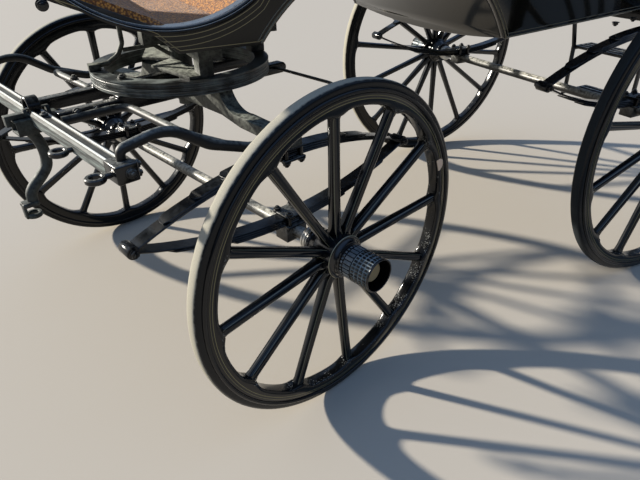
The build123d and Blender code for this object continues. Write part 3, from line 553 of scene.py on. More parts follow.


# Wrought iron under coach black, brushed on thick: faces that look up carry pale road dust in
# patches, and the rest mirrors the sky. Each kind of iron has its own share of dust; on the axles
# and the stays the pale tops are also a painted highlight.
def painted_iron(name, dust_and_highlight_share, dust_and_highlight_from, rough, dust_and_highlight_code="#8f918c"):
    """Coach black on iron, pale where a face looks up by more than dust_and_highlight_from: dust,
    and on the axles and stays a painted highlight as well.
    """
    material, tree, place = new_material(name)
    up = split(tree, add_node(tree, "ShaderNodeNewGeometry").outputs["Normal"])["Z"]
    blotch = grain(tree, place, 75.0, detail=8.0, roughness=0.7)
    fine = grain(tree, place, 400.0, detail=6.0)
    # Pale on faces that look up: dust, and on the axles and stays a painted highlight too
    dusty = product(tree, ranged(tree, up, dust_and_highlight_from, 1.0), ranged(tree, blotch, 0.35, 0.6),
                    dust_and_highlight_share)
    colour = mixed(tree, dusty, mixed(tree, blotch, "#050607", "#0d0f12"), dust_and_highlight_code)
    worn = math_node(tree, "ADD", dusty, product(tree, blotch, 0.4))
    surface(tree, colour, ranged(tree, worn, 0, 1, *rough), (fine, 0.12, 0.0005),
            {"Specular IOR Level": 0.4})
    return material


iron = painted_iron("painted_iron", 0.45, 0.4, (0.14, 0.45))
dusty_iron = painted_iron("dusty_iron", 0.85, -0.1, (0.35, 0.75))
spring_iron = painted_iron("spring_enamel", 0.08, 0.3, (0.08, 0.24), "#737a80")
# The axles' and stays' pale tops are dust and a painted highlight along them
axle_iron = painted_iron("axle_iron", 1.0, -0.15, (0.25, 0.55), "#bdbcb2")
stay_iron = painted_iron("stay_iron", 0.55, 0.35, (0.42, 0.75), "#a4a8a2")
bed_iron = painted_iron("bed_iron", 0.8, -0.6, (0.45, 0.8), "#8e9388")
dull_iron = painted_iron("dull_iron", 0.62, -0.9, (0.5, 0.8), "#5f6964")


def applied(piece, kind, **settings):
    """Gives the active piece a modifier and applies it."""
    modifier = piece.modifiers.new(kind, kind)
    for name, value in settings.items():
        setattr(modifier, name, value)
    bpy.ops.object.modifier_apply(modifier=modifier.name)


def rounded(node, width):
    """A copy of a CAD piece with its flat facets joined and its edges rounded."""
    piece = copied(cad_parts[node], Matrix.Identity(4), node + "_dressed")
    select(piece)
    whole_mesh((bpy.ops.mesh.remove_doubles, {"threshold": 0.00005}),
               (bpy.ops.mesh.dissolve_limited, {"angle_limit": math.radians(1.5)}), outward)
    applied(piece, "BEVEL", width=width, segments=2, limit_method="ANGLE",
            angle_limit=math.radians(30))
    return smooth(piece, 40)


def bar(name, path, radius, around=10, flat=1.0, upward=(0, 0, 1)):
    """A bar of round or flattened section along points, with one radius or one for each."""
    points = [Vector(point) for point in path]
    radii = radius if isinstance(radius, list) else [radius] * len(points)
    turns = [2 * math.pi * k / around for k in range(around)]
    rows = []
    for index, (point, size) in enumerate(zip(points, radii)):
        ahead = points[min(index + 1, len(points) - 1)] - points[max(index - 1, 0)]
        side = ahead.cross(Vector(upward)).normalized()
        up = side.cross(ahead).normalized() * flat
        rows.append([point + size * (math.cos(a) * side + math.sin(a) * up) for a in turns])
    return skin(name, rows)


def eased(points, bends, steps=7):
    """Points in millimetres joined by straight runs and rounded corners, in metres."""
    corners = [Vector(point) * millimetre for point in points]
    line = [corners[0]]
    for before, corner, after, bend in zip(corners, corners[1:], corners[2:], bends):
        back, on = before - corner, after - corner
        cut = bend * millimetre * math.tan((math.pi - back.angle(on)) / 2)
        cut = min(cut, back.length * 0.49, on.length * 0.49)
        first, last = corner + back.normalized() * cut, corner + on.normalized() * cut
        for t in [step / steps for step in range(steps + 1)]:
            line.append(first * (1 - t) ** 2 + corner * 2 * t * (1 - t) + last * t ** 2)
    return line + corners[-1:]


def stud(name, radius, height, sides, edge):
    """A nut, bolt head or washer: a short prism or disc along Z with bevelled edges."""
    bpy.ops.mesh.primitive_cylinder_add(vertices=sides, radius=radius, depth=height)
    piece = named(name)
    piece.data.transform(Matrix.Translation((0, 0, height / 2)))
    whole_mesh((bpy.ops.mesh.bevel, {"offset": edge, "segments": 2}))
    return piece


# Nuts, bolt heads and their studs are modelled once, along Z, and copied to each place
nut = join([stud("nut", 0.0105, 0.009, 6, 0.0011), stud("nut_stud", 0.0055, 0.0135, 14, 0.0012),
            stud("nut_washer", 0.0125, 0.0018, 20, 0.0004)], 30)
head = smooth(stud("head", 0.008, 0.005, 16, 0.0022), 40)


def fixed(pattern, spots):
    """Copies of a nut or head at spots (x, y, z, the way it points) in millimetres."""
    copies = []
    for x, y, z, way in spots:
        aim = Vector(way).to_track_quat("Z", "Y").to_matrix().to_4x4()
        copies.append(copied(pattern, Matrix.Translation(Vector((x, y, z)) * millimetre) @ aim))
    return copies


def reflected(piece, matrix, name=None):
    """A mirror copy of a piece."""
    twin = copied(piece, matrix, name)
    twin.data.flip_normals()
    return twin


# Elliptic springs of black painted steel: four leaves a side, each shorter than the one it
# backs and drawn thin at its end, rolled into eyes on cross bolts and clamped at mid length
leaf_thick = 0.0065
leaf_width = 0.044
leaf_count = 4
leaf_steps = 30
leaf_section = ((-1, 0.45), (-0.93, 1), (0.93, 1), (1, 0.45), (1, -0.45), (0.93, -1), (-0.93, -1),
                (-1, -0.45))


def leaf(name, half, rise, number):
    """One leaf of a lower pack, its middle at the height of the main leaf's middle."""
    radius = (half ** 2 + rise ** 2) / (2 * rise)
    spread = math.asin(half / radius) * (1 - 0.19 * number)
    rows = []
    for step in range(leaf_steps + 1):
        share = 2 * step / leaf_steps - 1
        end = 0
        if number:
            share = math.copysign(1 - (1 - abs(share)) ** 1.15, share)
            end = max(0, (abs(share) - 0.95) / 0.05)
        width = leaf_width / 2 * (1 - 0.45 * end ** 2)
        thick = leaf_thick / 2 * (0.92 - 0.45 * end)
        ring = []
        for across, out in leaf_section:
            reach = radius + number * leaf_thick - out * thick
            ring.append((reach * math.sin(spread * share), across * width,
                         radius - reach * math.cos(spread * share)))
        rows.append(ring)
    return skin(name, rows)


def spring_pieces(name, half, rise, seat):
    """Both packs of leaves, the eyes with their bolts, and the clamps with their nuts."""
    pack_thick = leaf_count * leaf_thick
    base = seat + pack_thick - leaf_thick / 2
    eye = base + rise
    over = Matrix.Translation((0, 0, 2 * eye)) @ Matrix.Diagonal((1, 1, -1, 1))
    leaves = []
    for number in range(leaf_count):
        lower = leaf(f"{name}_leaf_{number}", half, rise, number)
        lower.data.transform(Matrix.Translation((0, 0, base)))
        leaves += [lower, reflected(lower, over)]
    for side in (-half, half):
        for radius, reach in ((0.0162, 0.0225), (0.009, 0.031)):
            eye_bar = stud(name + "_eye", radius, 2 * reach, 26, 0.0015)
            eye_bar.data.transform(Matrix.Translation((side, -reach, eye))
                                   @ Matrix.Rotation(-math.pi / 2, 4, "X"))
            leaves.append(eye_bar)
        leaves += fixed(nut, [(side * 1000, out * 24, eye * 1000, (0, out, 0)) for out in (-1, 1)])
    top = 2 * eye - seat
    clips = []
    for low, high, way in ((seat, seat + pack_thick, 1), (top - pack_thick, top, -1)):
        nut_height = high + 0.006 if way > 0 else low - 0.006
        for x in (-0.026, 0.026):
            for y in (-0.0265, 0.0265):
                leg = [(x, y, z) for z in (low - 0.004, (low + high) / 2, high + 0.006)]
                clips.append(bar(name + "_leg", leg, 0.0052, upward=(1, 0, 0)))
                clips += fixed(nut, [(x * 1000, y * 1000, nut_height * 1000, (0, 0, way))])
        for z in (low - 0.003, high + 0.003):
            clips.append(block(name + "_plate", (0, 0, z), (0.074, 0.069, 0.007), 0.0015, 1))
    return join(leaves, 35, name + "_leaves"), join(clips, 35, name + "_clips")


for end, half, rise, seat in (("front", 0.477, 0.091, 0.491), ("rear", 0.535, 0.122, 0.599)):
    body, base = ("forecarriage", front_place) if end == "front" else ("carriage", body_place)
    for side, y in (("near", 0.5), ("far", -0.5)):
        leaves, clips = spring_pieces(f"{end}_{side}_spring", half, rise, seat)
        spring_place = base @ Matrix.Translation((0, y, 0))
        dress(leaves, spring_iron, body, f"{end}_spring_{side}", place=spring_place)
        dress(clips, iron, body, place=spring_place)

# The turntable's two iron rings, built up of plates whose edges show as fine steps, greased
# and thick with dust
upright = Matrix.Rotation(math.pi / 2, 4, "X")


def ring_plates(name, low, high, steps):
    """One ring of the turntable, of so many plates."""
    outline = [(0.2275, low), (0.2715, low)]
    for k in range(steps):
        start, end = (low + (high - low) * step / steps for step in (k, k + 1))
        proud = 0.272 - 0.0012 * (k * 7 % 3)
        outline += [(proud, start + 0.0004), (proud, end - 0.0008), (0.2700, end - 0.0003)]
    outline += [(0.2705, high), (0.2285, high), (0.2272, high - 0.0012)]
    piece = turn_on_axle(name, outline, 120)
    piece.data.transform(upright)
    return smooth(piece, 40)


ring_iron, tree, place = new_material("ring_iron")
plates = math_node(tree, "ADD", product(tree, drawn_out(tree, place, (7, 7, 620), 5.0), 0.65),
                   product(tree, grain(tree, place, 22.0, detail=6.0), 0.35))
dusty = ranged(tree, plates, 0.44, 0.62, high=0.9)
surface(tree, mixed(tree, dusty, "#07090a", "#7b8482"), ranged(tree, dusty, 0, 1, 0.3, 0.8),
        (plates, 0.35, 0.0012))
dress(ring_plates("turntable_lower", 0.824, 0.844, 5), ring_iron, "forecarriage", "lower_ring",
      place=front_place)
dress(ring_plates("turntable_upper", 0.8443, 0.8643, 4), ring_iron, "carriage", "upper_ring",
      place=king_place)

# The axle, bed and futchells of the forecarriage, and its pole socket: a forged box at the
# splinter bar, under a loop of flat iron that stands astride the bar's top
for node, width, paint in (("front_axle", 0.004, axle_iron), ("lower_bed", 0.004, bed_iron),
                           ("futchells", 0.003, iron)):
    dress(rounded(node, width), paint, "forecarriage", node)
socket = rounded("pole_socket", 0.002)
whole_mesh((bpy.ops.mesh.bisect, {"plane_co": (0, 0, 0.8166), "plane_no": (0, 0, 1),
                                  "clear_outer": True, "use_fill": True}))
dress(socket, dull_iron, "forecarriage", "pole_socket")
loop_radius = 24
loop_section = ((-16, -2), (-14.5, -3.5), (14.5, -3.5), (16, -2), (16, 2), (14.5, 3.5),
                (-14.5, 3.5), (-16, 2))
loop_line = [(loop_radius, 805, 0), (loop_radius, 814, 0)]
for turn in [math.pi * k / 16 for k in range(17)]:
    loop_line.append((loop_radius * math.cos(turn), 822 + loop_radius * math.sin(turn), turn))
loop_line += [(-loop_radius, 814, math.pi), (-loop_radius, 805, math.pi)]
rows = [[Vector((459 + x, y + out * math.cos(turn), z + out * math.sin(turn))) * millimetre
         for x, out in loop_section] for y, z, turn in loop_line]
dress(smooth(skin("socket_loop", rows), 30), iron, "forecarriage", place=front_place)

# The stays are forged round irons: a stout one from the splinter bar's end over to the bed, a
# thinner one welded into it from the futchell, and a light one behind
stay_points = (
    ("outer_stay", "front_stays", [0.0105 + 0.003 * min(1, k / 24) for k in range(46)], 10,
     [(449, 500, 812), (447, 500, 838), (335, 500, 857), (235, 500, 790), (120, 500, 749),
      (20, 500, 745)],
     (30, 120, 100, 100)),
    ("inner_stay", "front_stays", 0.011, 7,
     [(427, 109, 799), (250, 109, 799), (250, 420, 797), (175, 495, 768), (150, 499, 758)],
     (50, 60, 30)),
    ("rear_stay", "rear_stays", 0.005, 7,
     [(-300, 97, 800), (-300, 380, 800), (-240, 430, 780), (-120, 465, 750), (-20, 465, 744)],
     (60, 60, 60)),
)
stays = {"front_stays": [], "rear_stays": []}
for side in (-1, 1):
    for name, node, radius, steps, points, bends in stay_points:
        line = [(x, side * y, z) for x, y, z in eased(points, bends, steps)]
        stays[node].append(bar(name, line, radius, 24))
for node, irons in stays.items():
    dress(join(irons, 50), stay_iron, "forecarriage", node, place=front_place)

# The splinter bar is ash plated with iron that is rubbed bright along two ridges on its top, with
# a painted highlight laid along them, and grey with dust in front. Black iron sleeves close its
# ends.
ridged = ((477, 780), (477, 806), (473.5, 811), (471.5, 815), (468.5, 816), (465.5, 814.2),
          (463.5, 811.6), (450, 811.6), (448, 814.4), (445.5, 815.6), (442.5, 814.4), (432, 807),
          (427, 800), (427, 780), (432, 774.5), (472, 774.5))
plating, tree, place = new_material("splinter_plating")
height = split(tree, place)["Z"]
fine = grain(tree, place, 300.0, detail=6.0)
streak = ranged(tree, drawn_out(tree, place, (9, 9, 160), 6.0), 0.44, 0.68)
groove = product(tree, within(tree, height, 0.8106, 0.8126, 0.0006), 0.8)
# The pale band on the two ridges is wear and a painted highlight
bright = within(tree, wavering(tree, height, fine, 0.003), 0.8142, 0.83, 0.0008)
colour = mixed(tree, groove, mixed(tree, streak, "#161b1c", "#77827f"), "#121617")
surface(tree, mixed(tree, bright, colour, "#cdd0ca"), ranged(tree, bright, 0, 1, 0.7, 0.5),
        (fine, 0.2, 0.0006))
rows = [[(x * millimetre, y, z * millimetre) for x, z in ridged]
        for y in (-0.474, -0.16, 0.16, 0.474)]
dress(smooth(skin("splinter_bar_plated", rows), 25), plating, "forecarriage", "splinter_bar",
      place=front_place)

# Trace eyes are thick forged rings drawn out of the bar's plate. The drop iron is one forged S,
# dull with dust, that ends in a double-lugged shackle. Nuts hold the futchells, bar and rings.
ring_outline = [(0.012, -0.004), (0.0142, -0.0066), (0.0200, -0.0066), (0.0222, -0.004),
                (0.0222, 0.004), (0.0200, 0.0066), (0.0142, 0.0066), (0.012, 0.004)]
eyes = [block("splinter_sleeve", (0.452, y, 0.795), (0.050, 0.061, 0.042), 0.004, 3)
        for y in (-0.5015, 0.5015)]
for y in (-0.495, -0.295, 0.295, 0.495):
    eyes.append(turn_on_axle("trace_eye", ring_outline, 32))
    eyes[-1].data.transform(Matrix.Translation((0.508, y, 0.789)) @ upright)
    shank = [(x, y, 0.789) for x in (0.468, 0.476, 0.484, 0.491)]
    eyes.append(bar("eye_shank", shank, 0.0088, 16, flat=0.75))
dress(join(eyes, 40), iron, "forecarriage", place=front_place)

knots = [(0.490, 0.770), (0.478, 0.750), (0.467, 0.722), (0.463, 0.690), (0.468, 0.655),
         (0.490, 0.628), (0.517, 0.604), (0.529, 0.585), (0.530, 0.565)]
curve = []
for around in zip([knots[0]] + knots, knots, knots[1:], knots[2:] + [knots[-1]]):
    for t in (0, 0.25, 0.5, 0.75):
        x, z = [0.5 * (2 * q + (r - p) * t + (2 * p - 5 * q + 4 * r - s) * t * t
                       + (3 * q - p - 3 * r + s) * t ** 3) for p, q, r, s in zip(*around)]
        curve.append((x, 0, z))
curve.append((knots[-1][0], 0, knots[-1][1]))
shackle = [bar("drop_iron_forged", curve, 0.0155, 14, upward=(0, 1, 0)),
           block("lug", (0.5405, 0, 0.56), (0.045, 0.036, 0.014), 0.0044, 4),
           block("lug", (0.5585, 0, 0.5425), (0.009, 0.024, 0.049), 0.0044, 4),
           turn_on_axle("lower_lug", ring_outline, 36)]
shackle[-1].data.transform(Matrix.Translation((0.538, 0, 0.525)) @ upright)
dress(join(shackle, 45), dull_iron, "forecarriage", "drop_iron", place=front_place)
out, over, ahead = (0, 1, 0), (0, 0, 1), (-1, 0, 0)
nuts = fixed(nut, [
    (380, 97, 808, out), (328, 97, 803, out), (300, 97, 797, out), (-240, 97, 797, out),
    (-120, 97, 797, out), (427, 512, 803, ahead), (427, 512, 783, ahead), (446, 532, 795, out),
    (446, -532, 795, (0, -1, 0)), (330, -10, 864, over), (234, 80, 864, over),
    (234, -80, 864, over), (457, 80, 811, over), (457, -80, 811, over)])
dress(join(nuts, name="forecarriage_nuts"), dusty_iron, "forecarriage", place=front_place)

# The hind axle, the beams over the rings and the bars under the body. Each axle's collar is a
# bright turned steel ring in three ridges, just behind the hub.
for node, width, paint in (("rear_axle", 0.004, axle_iron), ("top_bed", 0.003, bed_iron),
                           ("rear_cross_bar", 0.003, iron), ("rear_step", 0.0015, iron)):
    dress(rounded(node, width), paint, "carriage", node)
collar_outline = [
    (0.0185, -0.1325), (0.031, -0.1325), (0.0345, -0.130), (0.0345, -0.1255), (0.0318, -0.1240),
    (0.0318, -0.1220), (0.0350, -0.1205), (0.0350, -0.1145), (0.0318, -0.1130), (0.0318, -0.1110),
    (0.0345, -0.1095), (0.0345, -0.1035), (0.032, -0.1012), (0.0185, -0.1012)]
collar_steel, tree, place = new_material("collar_steel")
blotch = grain(tree, place, 60.0, detail=6.0)
surface(tree, mixed(tree, blotch, "#a3a29c", "#f0eee8"), ranged(tree, blotch, 0, 1, 0.2, 0.5),
        more={"Metallic": 1.0})
for end, side in wheels:
    collar = smooth(turn_on_axle(f"{end}_{side}_collar", collar_outline, 48), 40)
    dress(collar, collar_steel, "forecarriage" if end == "front" else "carriage",
          place=wheel_place(end, side))


# The boot's side, drawn as rows square to its rim: a rim painted pale, dust and a painted
# reflection of the sky, with dark specks, then gloss black with three fine khaki lines below the
# rim and one along the foot
def through(a, b, c, count):
    """Points along the circular arc from a through b to c."""
    (ax, az), (bx, bz), (cx, cz) = a, b, c
    aa, bb, cc = (x ** 2 + z ** 2 for x, z in (a, b, c))
    d = 2 * (ax * (bz - cz) + bx * (cz - az) + cx * (az - bz))
    ux = (aa * (bz - cz) + bb * (cz - az) + cc * (az - bz)) / d
    uz = (aa * (cx - bx) + bb * (ax - cx) + cc * (bx - ax)) / d
    radius = math.hypot(ax - ux, az - uz)
    first, middle, last = (math.atan2(z - uz, x - ux) for x, z in (a, b, c))
    turn = (last - first) % (2 * math.pi)
    if (middle - first) % (2 * math.pi) > turn:
        turn -= 2 * math.pi
    return [(ux + radius * math.cos(first + turn * k / count),
             uz + radius * math.sin(first + turn * k / count)) for k in range(count + 1)]


def along(a, b, count):
    """Points from a towards b, without b itself."""
    return [(a[0] + (b[0] - a[0]) * k / count, a[1] + (b[1] - a[1]) * k / count)
            for k in range(count)]


rim_line = (along((2072, 1225), (1920, 1112), 10)
            + through((1920, 1112), (1710, 1035), (1530, 1085), 48)[:-1]
            + along((1530, 1085), (1447, 1195), 10) + along((1447, 1195), (1435, 1390), 10)
            + [(1435, 1388)])
arch_line = through((697, 903), (1083, 1167), (1510, 978), 60)
foot_line = [(2090, 1195), (1964, 1110), (1760, 1020), (1716, 978)] + arch_line[::-1]
# The rim's cap as (depth below the rim, distance from the middle), and the panel's face
cap_profile = [(12, 428), (12, 409), (-1.6, 407.5), (-2.4, 409), (-2.2, 422), (1.0, 438),
               (5.6, 450), (7.6, 452.0), (10.0, 452.0), (11.5, 450.9)]
face_out = 450.7
face_steps = 14
deepest = 110


def depth_below(point, normal):
    """How far the panel reaches from a point on the rim, square to it, up to the deepest."""
    best = deepest
    for (ax, az), (bx, bz) in zip(foot_line, foot_line[1:]):
        ex, ez = bx - ax, bz - az
        cross = normal[0] * ez - normal[1] * ex
        if abs(cross) > 1e-9:
            t = ((ax - point[0]) * ez - (az - point[1]) * ex) / cross
            s = ((ax - point[0]) * normal[1] - (az - point[1]) * normal[0]) / cross
            if t > 1 and 0 <= s <= 1:
                best = min(best, t)
    return best


def boot_side(name, side):
    """The near or far side: the cap over its edge, then the panel's outer face."""
    rows, trim = [], []
    for index, (x, z) in enumerate(rim_line):
        ax, az = rim_line[max(index - 2, 0)]
        bx, bz = rim_line[min(index + 2, len(rim_line) - 1)]
        length = math.hypot(bx - ax, bz - az)
        nx, nz = (az - bz) / length, (bx - ax) / length
        reach = depth_below((x, z), (nx, nz))
        spots = [(min(depth, reach), y) for depth, y in cap_profile]
        spots += [(11.5 + (max(reach, 12.5) - 11.5) * k / face_steps, face_out)
                  for k in range(1, face_steps + 1)]
        rows.append([body_place @ (Vector((x + nx * depth, side * y, z + nz * depth)) * millimetre)
                     for depth, y in spots])
        trim += [Vector((depth, reach - depth, y)) * millimetre for depth, y in spots]
    piece = sheet(name, rows)
    store(piece, "trim_place", trim)
    whole_mesh(outward)
    return smooth(piece, 50)


boot_enamel, tree, place = new_material("boot_enamel")
trim = add_node(tree, "ShaderNodeAttribute", attribute_name="trim_place").outputs["Vector"]
depth, above_foot = split(tree, trim)[:2]
blotch = grain(tree, place, 12.0)
worn = ranged(tree, grain(tree, place, 180.0, detail=5.0), 0.63, 0.66)
colour = mixed(tree, blotch, "#080806", "#12110c")
for inset in (0.018, 0.029, 0.041):
    line = within(tree, depth, inset - 0.0008, inset + 0.0008, 0.0005)
    colour = mixed(tree, line, colour, "#7d7353")
colour = mixed(tree, within(tree, above_foot, 0.0065, 0.0082, 0.0005), colour, "#7d7353")
rim_top = within(tree, depth, -1.0, 0.0062, 0.0004)
# The rim's pale top is dust and a painted reflection of the sky, flecked with dark specks
rim_dust_and_reflection = mixed(tree, worn, mixed(tree, blotch, "#a7a196", "#e2dbcd"), "#15171a")
surface(tree, mixed(tree, rim_top, colour, rim_dust_and_reflection), ranged(tree, rim_top, 0, 1, 0.16, 0.38),
        more={"Specular IOR Level": 0.3})
for name, side in (("near", 1), ("far", -1)):
    dress(boot_side(f"boot_side_{name}", side), boot_enamel, "carriage")

# Coir mat on the boot's floor: coarse brown fibre in tufts with painted shade between them,
# darker where feet rub it flat. It climbs a little way up the wheel arch, and its edges lie on the
# rim where that is the lower.
arch_middle = Vector((1103.6, 623.9))
mat_line = [(1545, 1012), (1700, 1012), (1741, 1046), (1949, 1143), (2066, 1219)]
mat_half = 0.426
mat_columns = 110


def rim_height(x):
    """How high the boot's rim is at a place in front of the seat."""
    for (ax, az), (bx, bz) in zip(rim_line, rim_line[1:]):
        if bx <= x <= ax:
            return bz + (az - bz) * (x - bx) / (ax - bx)
    return rim_line[0][1]


mat_spots = []
for spot in arch_line:
    if spot[0] > 1425:
        mat_spots.append(Vector(spot) + (Vector(spot) - arch_middle).normalized() * 27)
for start, end, count in zip(mat_line, mat_line[1:], (22, 8, 34, 18)):
    mat_spots += along(start, end, count)
mat_spots.append(mat_line[-1])
rows = []
for x, z in mat_spots:
    end = 9 if not rows or len(rows) == len(mat_spots) - 1 else 0
    drop = max(9, z - rim_height(x) - 1) if 1560 < x < 2050 else 9
    rows.append([])
    for column in range(mat_columns + 1):
        share = 2 * column / mat_columns - 1
        edge = max(0, abs(share) - 0.985) / 0.015
        rise = (1.8 * noise.noise(Vector((x * 0.06, share * 30, 3)))
                + 1.2 * noise.noise(Vector((x * 0.25, share * 110, 7))))
        rows[-1].append((x * millimetre + rear_axle_x, share * mat_half,
                         (z + rise - max(drop * edge, end)) * millimetre))
coir, tree, place = new_material("coir_matting")
tuft = cells(tree, place, 170.0)
fibre = grain(tree, place, 520.0, detail=3.0)
colour = mixed(tree, fibre, "#8a5814", "#ffb450")
# Painted shade in the gaps between the tufts
colour = mixed(tree, ranged(tree, tuft, 0.25, 0.6), colour, "#52300f")
colour = mixed(tree, product(tree, grain(tree, place, 9.0, detail=5.0), 0.35), colour, "#a4622c")
surface(tree, colour, 0.95, (math_node(tree, "ADD", tuft, fibre), 0.9, 0.003),
        {"Sheen Weight": 0.3})
dress(smooth(sheet("coir_mat", rows), 60), coir, "carriage", "foot_mat")

# Body panels in polished coach black: the quarter panels' edges carry a double bead
gloss, tree, place = new_material("panel_enamel")
blotch = grain(tree, place, 8.0)
surface(tree, mixed(tree, blotch, "#070806", "#0f0f0b"), ranged(tree, blotch, 0, 1, 0.06, 0.16),
        more={"Specular IOR Level": 0.4, "Coat Weight": 0.35, "Coat Roughness": 0.03})
for node in ("side_panel_near", "side_panel_far", "wheel_arch", "driver_seat", "bench_near",
             "bench_far", "rear_panel"):
    dress(rounded(node, 0.003), gloss, "carriage", node)
dress(rounded("rear_door", 0.003), gloss, "door", "rear_door")
beads = []
for inset, radius in ((5, 0.0026), (15, 0.0015)):
    arch_bead = []
    for x, z in arch_line:
        up = Vector((x - 1103, z - 740)).normalized() * inset
        arch_bead.append((x + up.x, z + up.y))
    sill = [(-465 + 1157 * k / 20, 957 - 54 * (5 + 1157 * k / 20) / 1167 + inset)
            for k in range(20, -1, -1)]
    for run in (arch_bead, sill):
        for y in (-450.6, 450.6):
            path = [body_place @ (Vector((x, y, z)) * millimetre) for x, z in run]
            beads.append(bar("bead", path, radius, 8, upward=(0, 1, 0)))
bead_paint, tree, place = new_material("bead_enamel")
colour = mixed(tree, grain(tree, place, 120.0), "#22211b", "#6b6449")
surface(tree, colour, 0.2, more={"Coat Weight": 0.6})
dress(join(beads, 50), bead_paint, "carriage")
under = (0, 0, -1)
nuts = fixed(nut, [(1971, 450, 1102, out), (178, 455, 906, under), (84, 455, 912, under),
                   (1971, -450, 1102, (0, -1, 0)), (-60, 455, 919, under)])
dress(join(nuts, name="body_nuts"), iron, "carriage", place=body_place)


# Seat rails: black round iron bent to a hoop behind each seat, with slimmer bars between
def hoop(foot, lean, run, rail_height):
    """A hoop that leans out over a run along the seat, and its two inner uprights."""
    foot, lean, run = Vector(foot), Vector(lean), Vector(run)
    rise = Vector((0, 0, 30))
    top = Vector((0, 0, rail_height - foot.z)) + lean
    outline = [foot, foot + rise, foot + top, foot + run + top, foot + run + rise, foot + run]
    pieces = [bar("seat_rail", eased(outline, (20, 60, 60, 20)), 0.009, 12,
                  upward=run.cross(top).normalized())]
    plates = [(foot, 2.4, 1.2), (foot + run, 2.4, 1.2)]
    for base in (foot + run / 3, foot + run * 2 / 3):
        bowed = base + lean.normalized() * 20 + Vector((0, 0, 120))
        line = eased([base, base + rise, bowed, base + top], (20, 100))
        pieces.append(bar("seat_rail", line, 0.007, 10, upward=run.normalized()))
        plates.append((base, 1.8, 1.0))
    return pieces + [copied(head, Matrix.Translation(spot * millimetre)
                            @ Matrix.Diagonal((wide, wide, tall, 1)))
                     for spot, wide, tall in plates]


rails = hoop((885, -505, 1408), (-55, 0, 0), (0, 1010, 0), 1730)
for side in (-1, 1):
    rails += hoop((-430, side * 590, 1308), (0, side * 55, 0), (1195, 0, 0), 1640)
dress(join(rails, 50), iron, "carriage", "seat_rails", place=body_place)

# Floor boards: tongued deal, painted black and scuffed grey along the grain by boots
boards, tree, place = new_material("floor_boards")
board_edge = math_node(tree, "PINGPONG", split(tree, place)["Y"], 0.0575)
joint_line = within(tree, board_edge, -1.0, 0.0015, 0.0006)
streak = drawn_out(tree, place, (3, 60, 60), 6.0, roughness=0.5)
scuff = ranged(tree, streak, 0.45, 0.7)
colour = mixed(tree, joint_line, mixed(tree, scuff, "#121110", "#4c453b"), "#030303")
surface(tree, colour, ranged(tree, scuff, 0, 1, 0.4, 0.85),
        (math_node(tree, "SUBTRACT", streak, joint_line), 0.5, 0.0015))
for node in ("rear_floor", "boot_floor"):
    dress(rounded(node, 0.0015), boards, "carriage", node)

# The dash is patent leather stretched over an iron frame: its rolled edge stands proud, and a
# row of stitches runs inside it on both faces
patent, tree, place = new_material("patent_leather")
pebble = cells(tree, place, 420.0)
blotch = grain(tree, place, 14.0, detail=5.0)
surface(tree, mixed(tree, blotch, "#070708", "#151516"), ranged(tree, blotch, 0, 1, 0.12, 0.34),
        (math_node(tree, "ADD", product(tree, pebble, 0.3), blotch), 0.3, 0.0012))
dress(rounded("dashboard", 0.003), patent, "carriage", "dashboard")
slant = Vector((75, 0, 295)).normalized()
out_of_dash = Vector((295, 0, -75)).normalized()
dash_height = math.hypot(75, 295)
stitch_gap = 0.008


def round_dash(out, half, corner, low, short):
    """The dash's outline, so far out of its face, with its top corners cut."""
    foot = Vector((2090, 0, 1195)) + out_of_dash * (6 + out)
    top = dash_height - short
    side = [(half, low), (half, top - corner), (half - corner, top)]
    return [foot + Vector((0, y, 0)) + slant * height
            for y, height in [(-y, height) for y, height in side] + side[::-1]]


edge_roll = bar("dash_roll", eased(round_dash(0, 448, 59, 2, 1), (30, 30, 30, 30)), 0.0072, 12,
                upward=out_of_dash)
stitch = block("stitch", (0, 0, 0), (0.005, 0.0012, 0.0012))
stitches = []
for face in (-6.2, 6.2):
    seam = eased(round_dash(face, 432, 49, 14, 17), (20, 20, 20, 20), 4)
    for start, end in zip(seam, seam[1:]):
        run = end - start
        aim = run.to_track_quat("X", "Z").to_matrix().to_4x4()
        count = int(run.length / stitch_gap)
        stitches += [copied(stitch, Matrix.Translation(start + run * (k + 0.5) / count) @ aim)
                     for k in range(count)]
for piece in (smooth(edge_roll, 50), join(stitches, name="dash_stitches")):
    dress(piece, patent, "carriage", place=body_place)


# Box cushions of drab wool cloth over horsehair, and rolls of black leather on the rails. Each
# is swollen by pressure from a slightly smaller box and held flat on the side that it rests on.
def stuffed(name, low, high, voxel, cap, flat_side, pressure=4.0):
    """A crowned closed form in place of a box, flat on the side that it rests on."""
    inset = 7
    size = [(h - l - 2 * inset) * millimetre for l, h in zip(low, high)]
    piece = block(name, [(h + l) / 2 * millimetre for l, h in zip(low, high)], size)
    select(piece)
    applied(piece, "BEVEL", width=0.012, segments=3)
    applied(piece, "REMESH", mode="VOXEL", voxel_size=voxel)
    axis, sign = flat_side
    wall = (low if sign < 0 else high)[axis] * millimetre
    start = [vertex.co.copy() for vertex in piece.data.vertices]
    cloth = piece.modifiers.new("cloth", "CLOTH")
    cloth.settings.use_pressure = True
    cloth.settings.uniform_pressure_force = pressure
    cloth.settings.quality = 4
    cloth.settings.effector_weights.gravity = 0
    for step in range(1, 21):
        bpy.context.scene.frame_set(step)
    shaped = piece.evaluated_get(bpy.context.evaluated_depsgraph_get())
    moved = [vertex.co.copy() for vertex in shaped.data.vertices]
    piece.modifiers.remove(cloth)
    for vertex, old, new in zip(piece.data.vertices, start, moved):
        step = new - old
        if step.length > cap:
            step = step.normalized() * cap
        vertex.co = old + step
    for vertex in piece.data.vertices:
        vertex.co[axis] = (max if sign < 0 else min)(vertex.co[axis], wall)
    applied(piece, "SUBSURF", levels=1)
    return smooth(piece, 60)


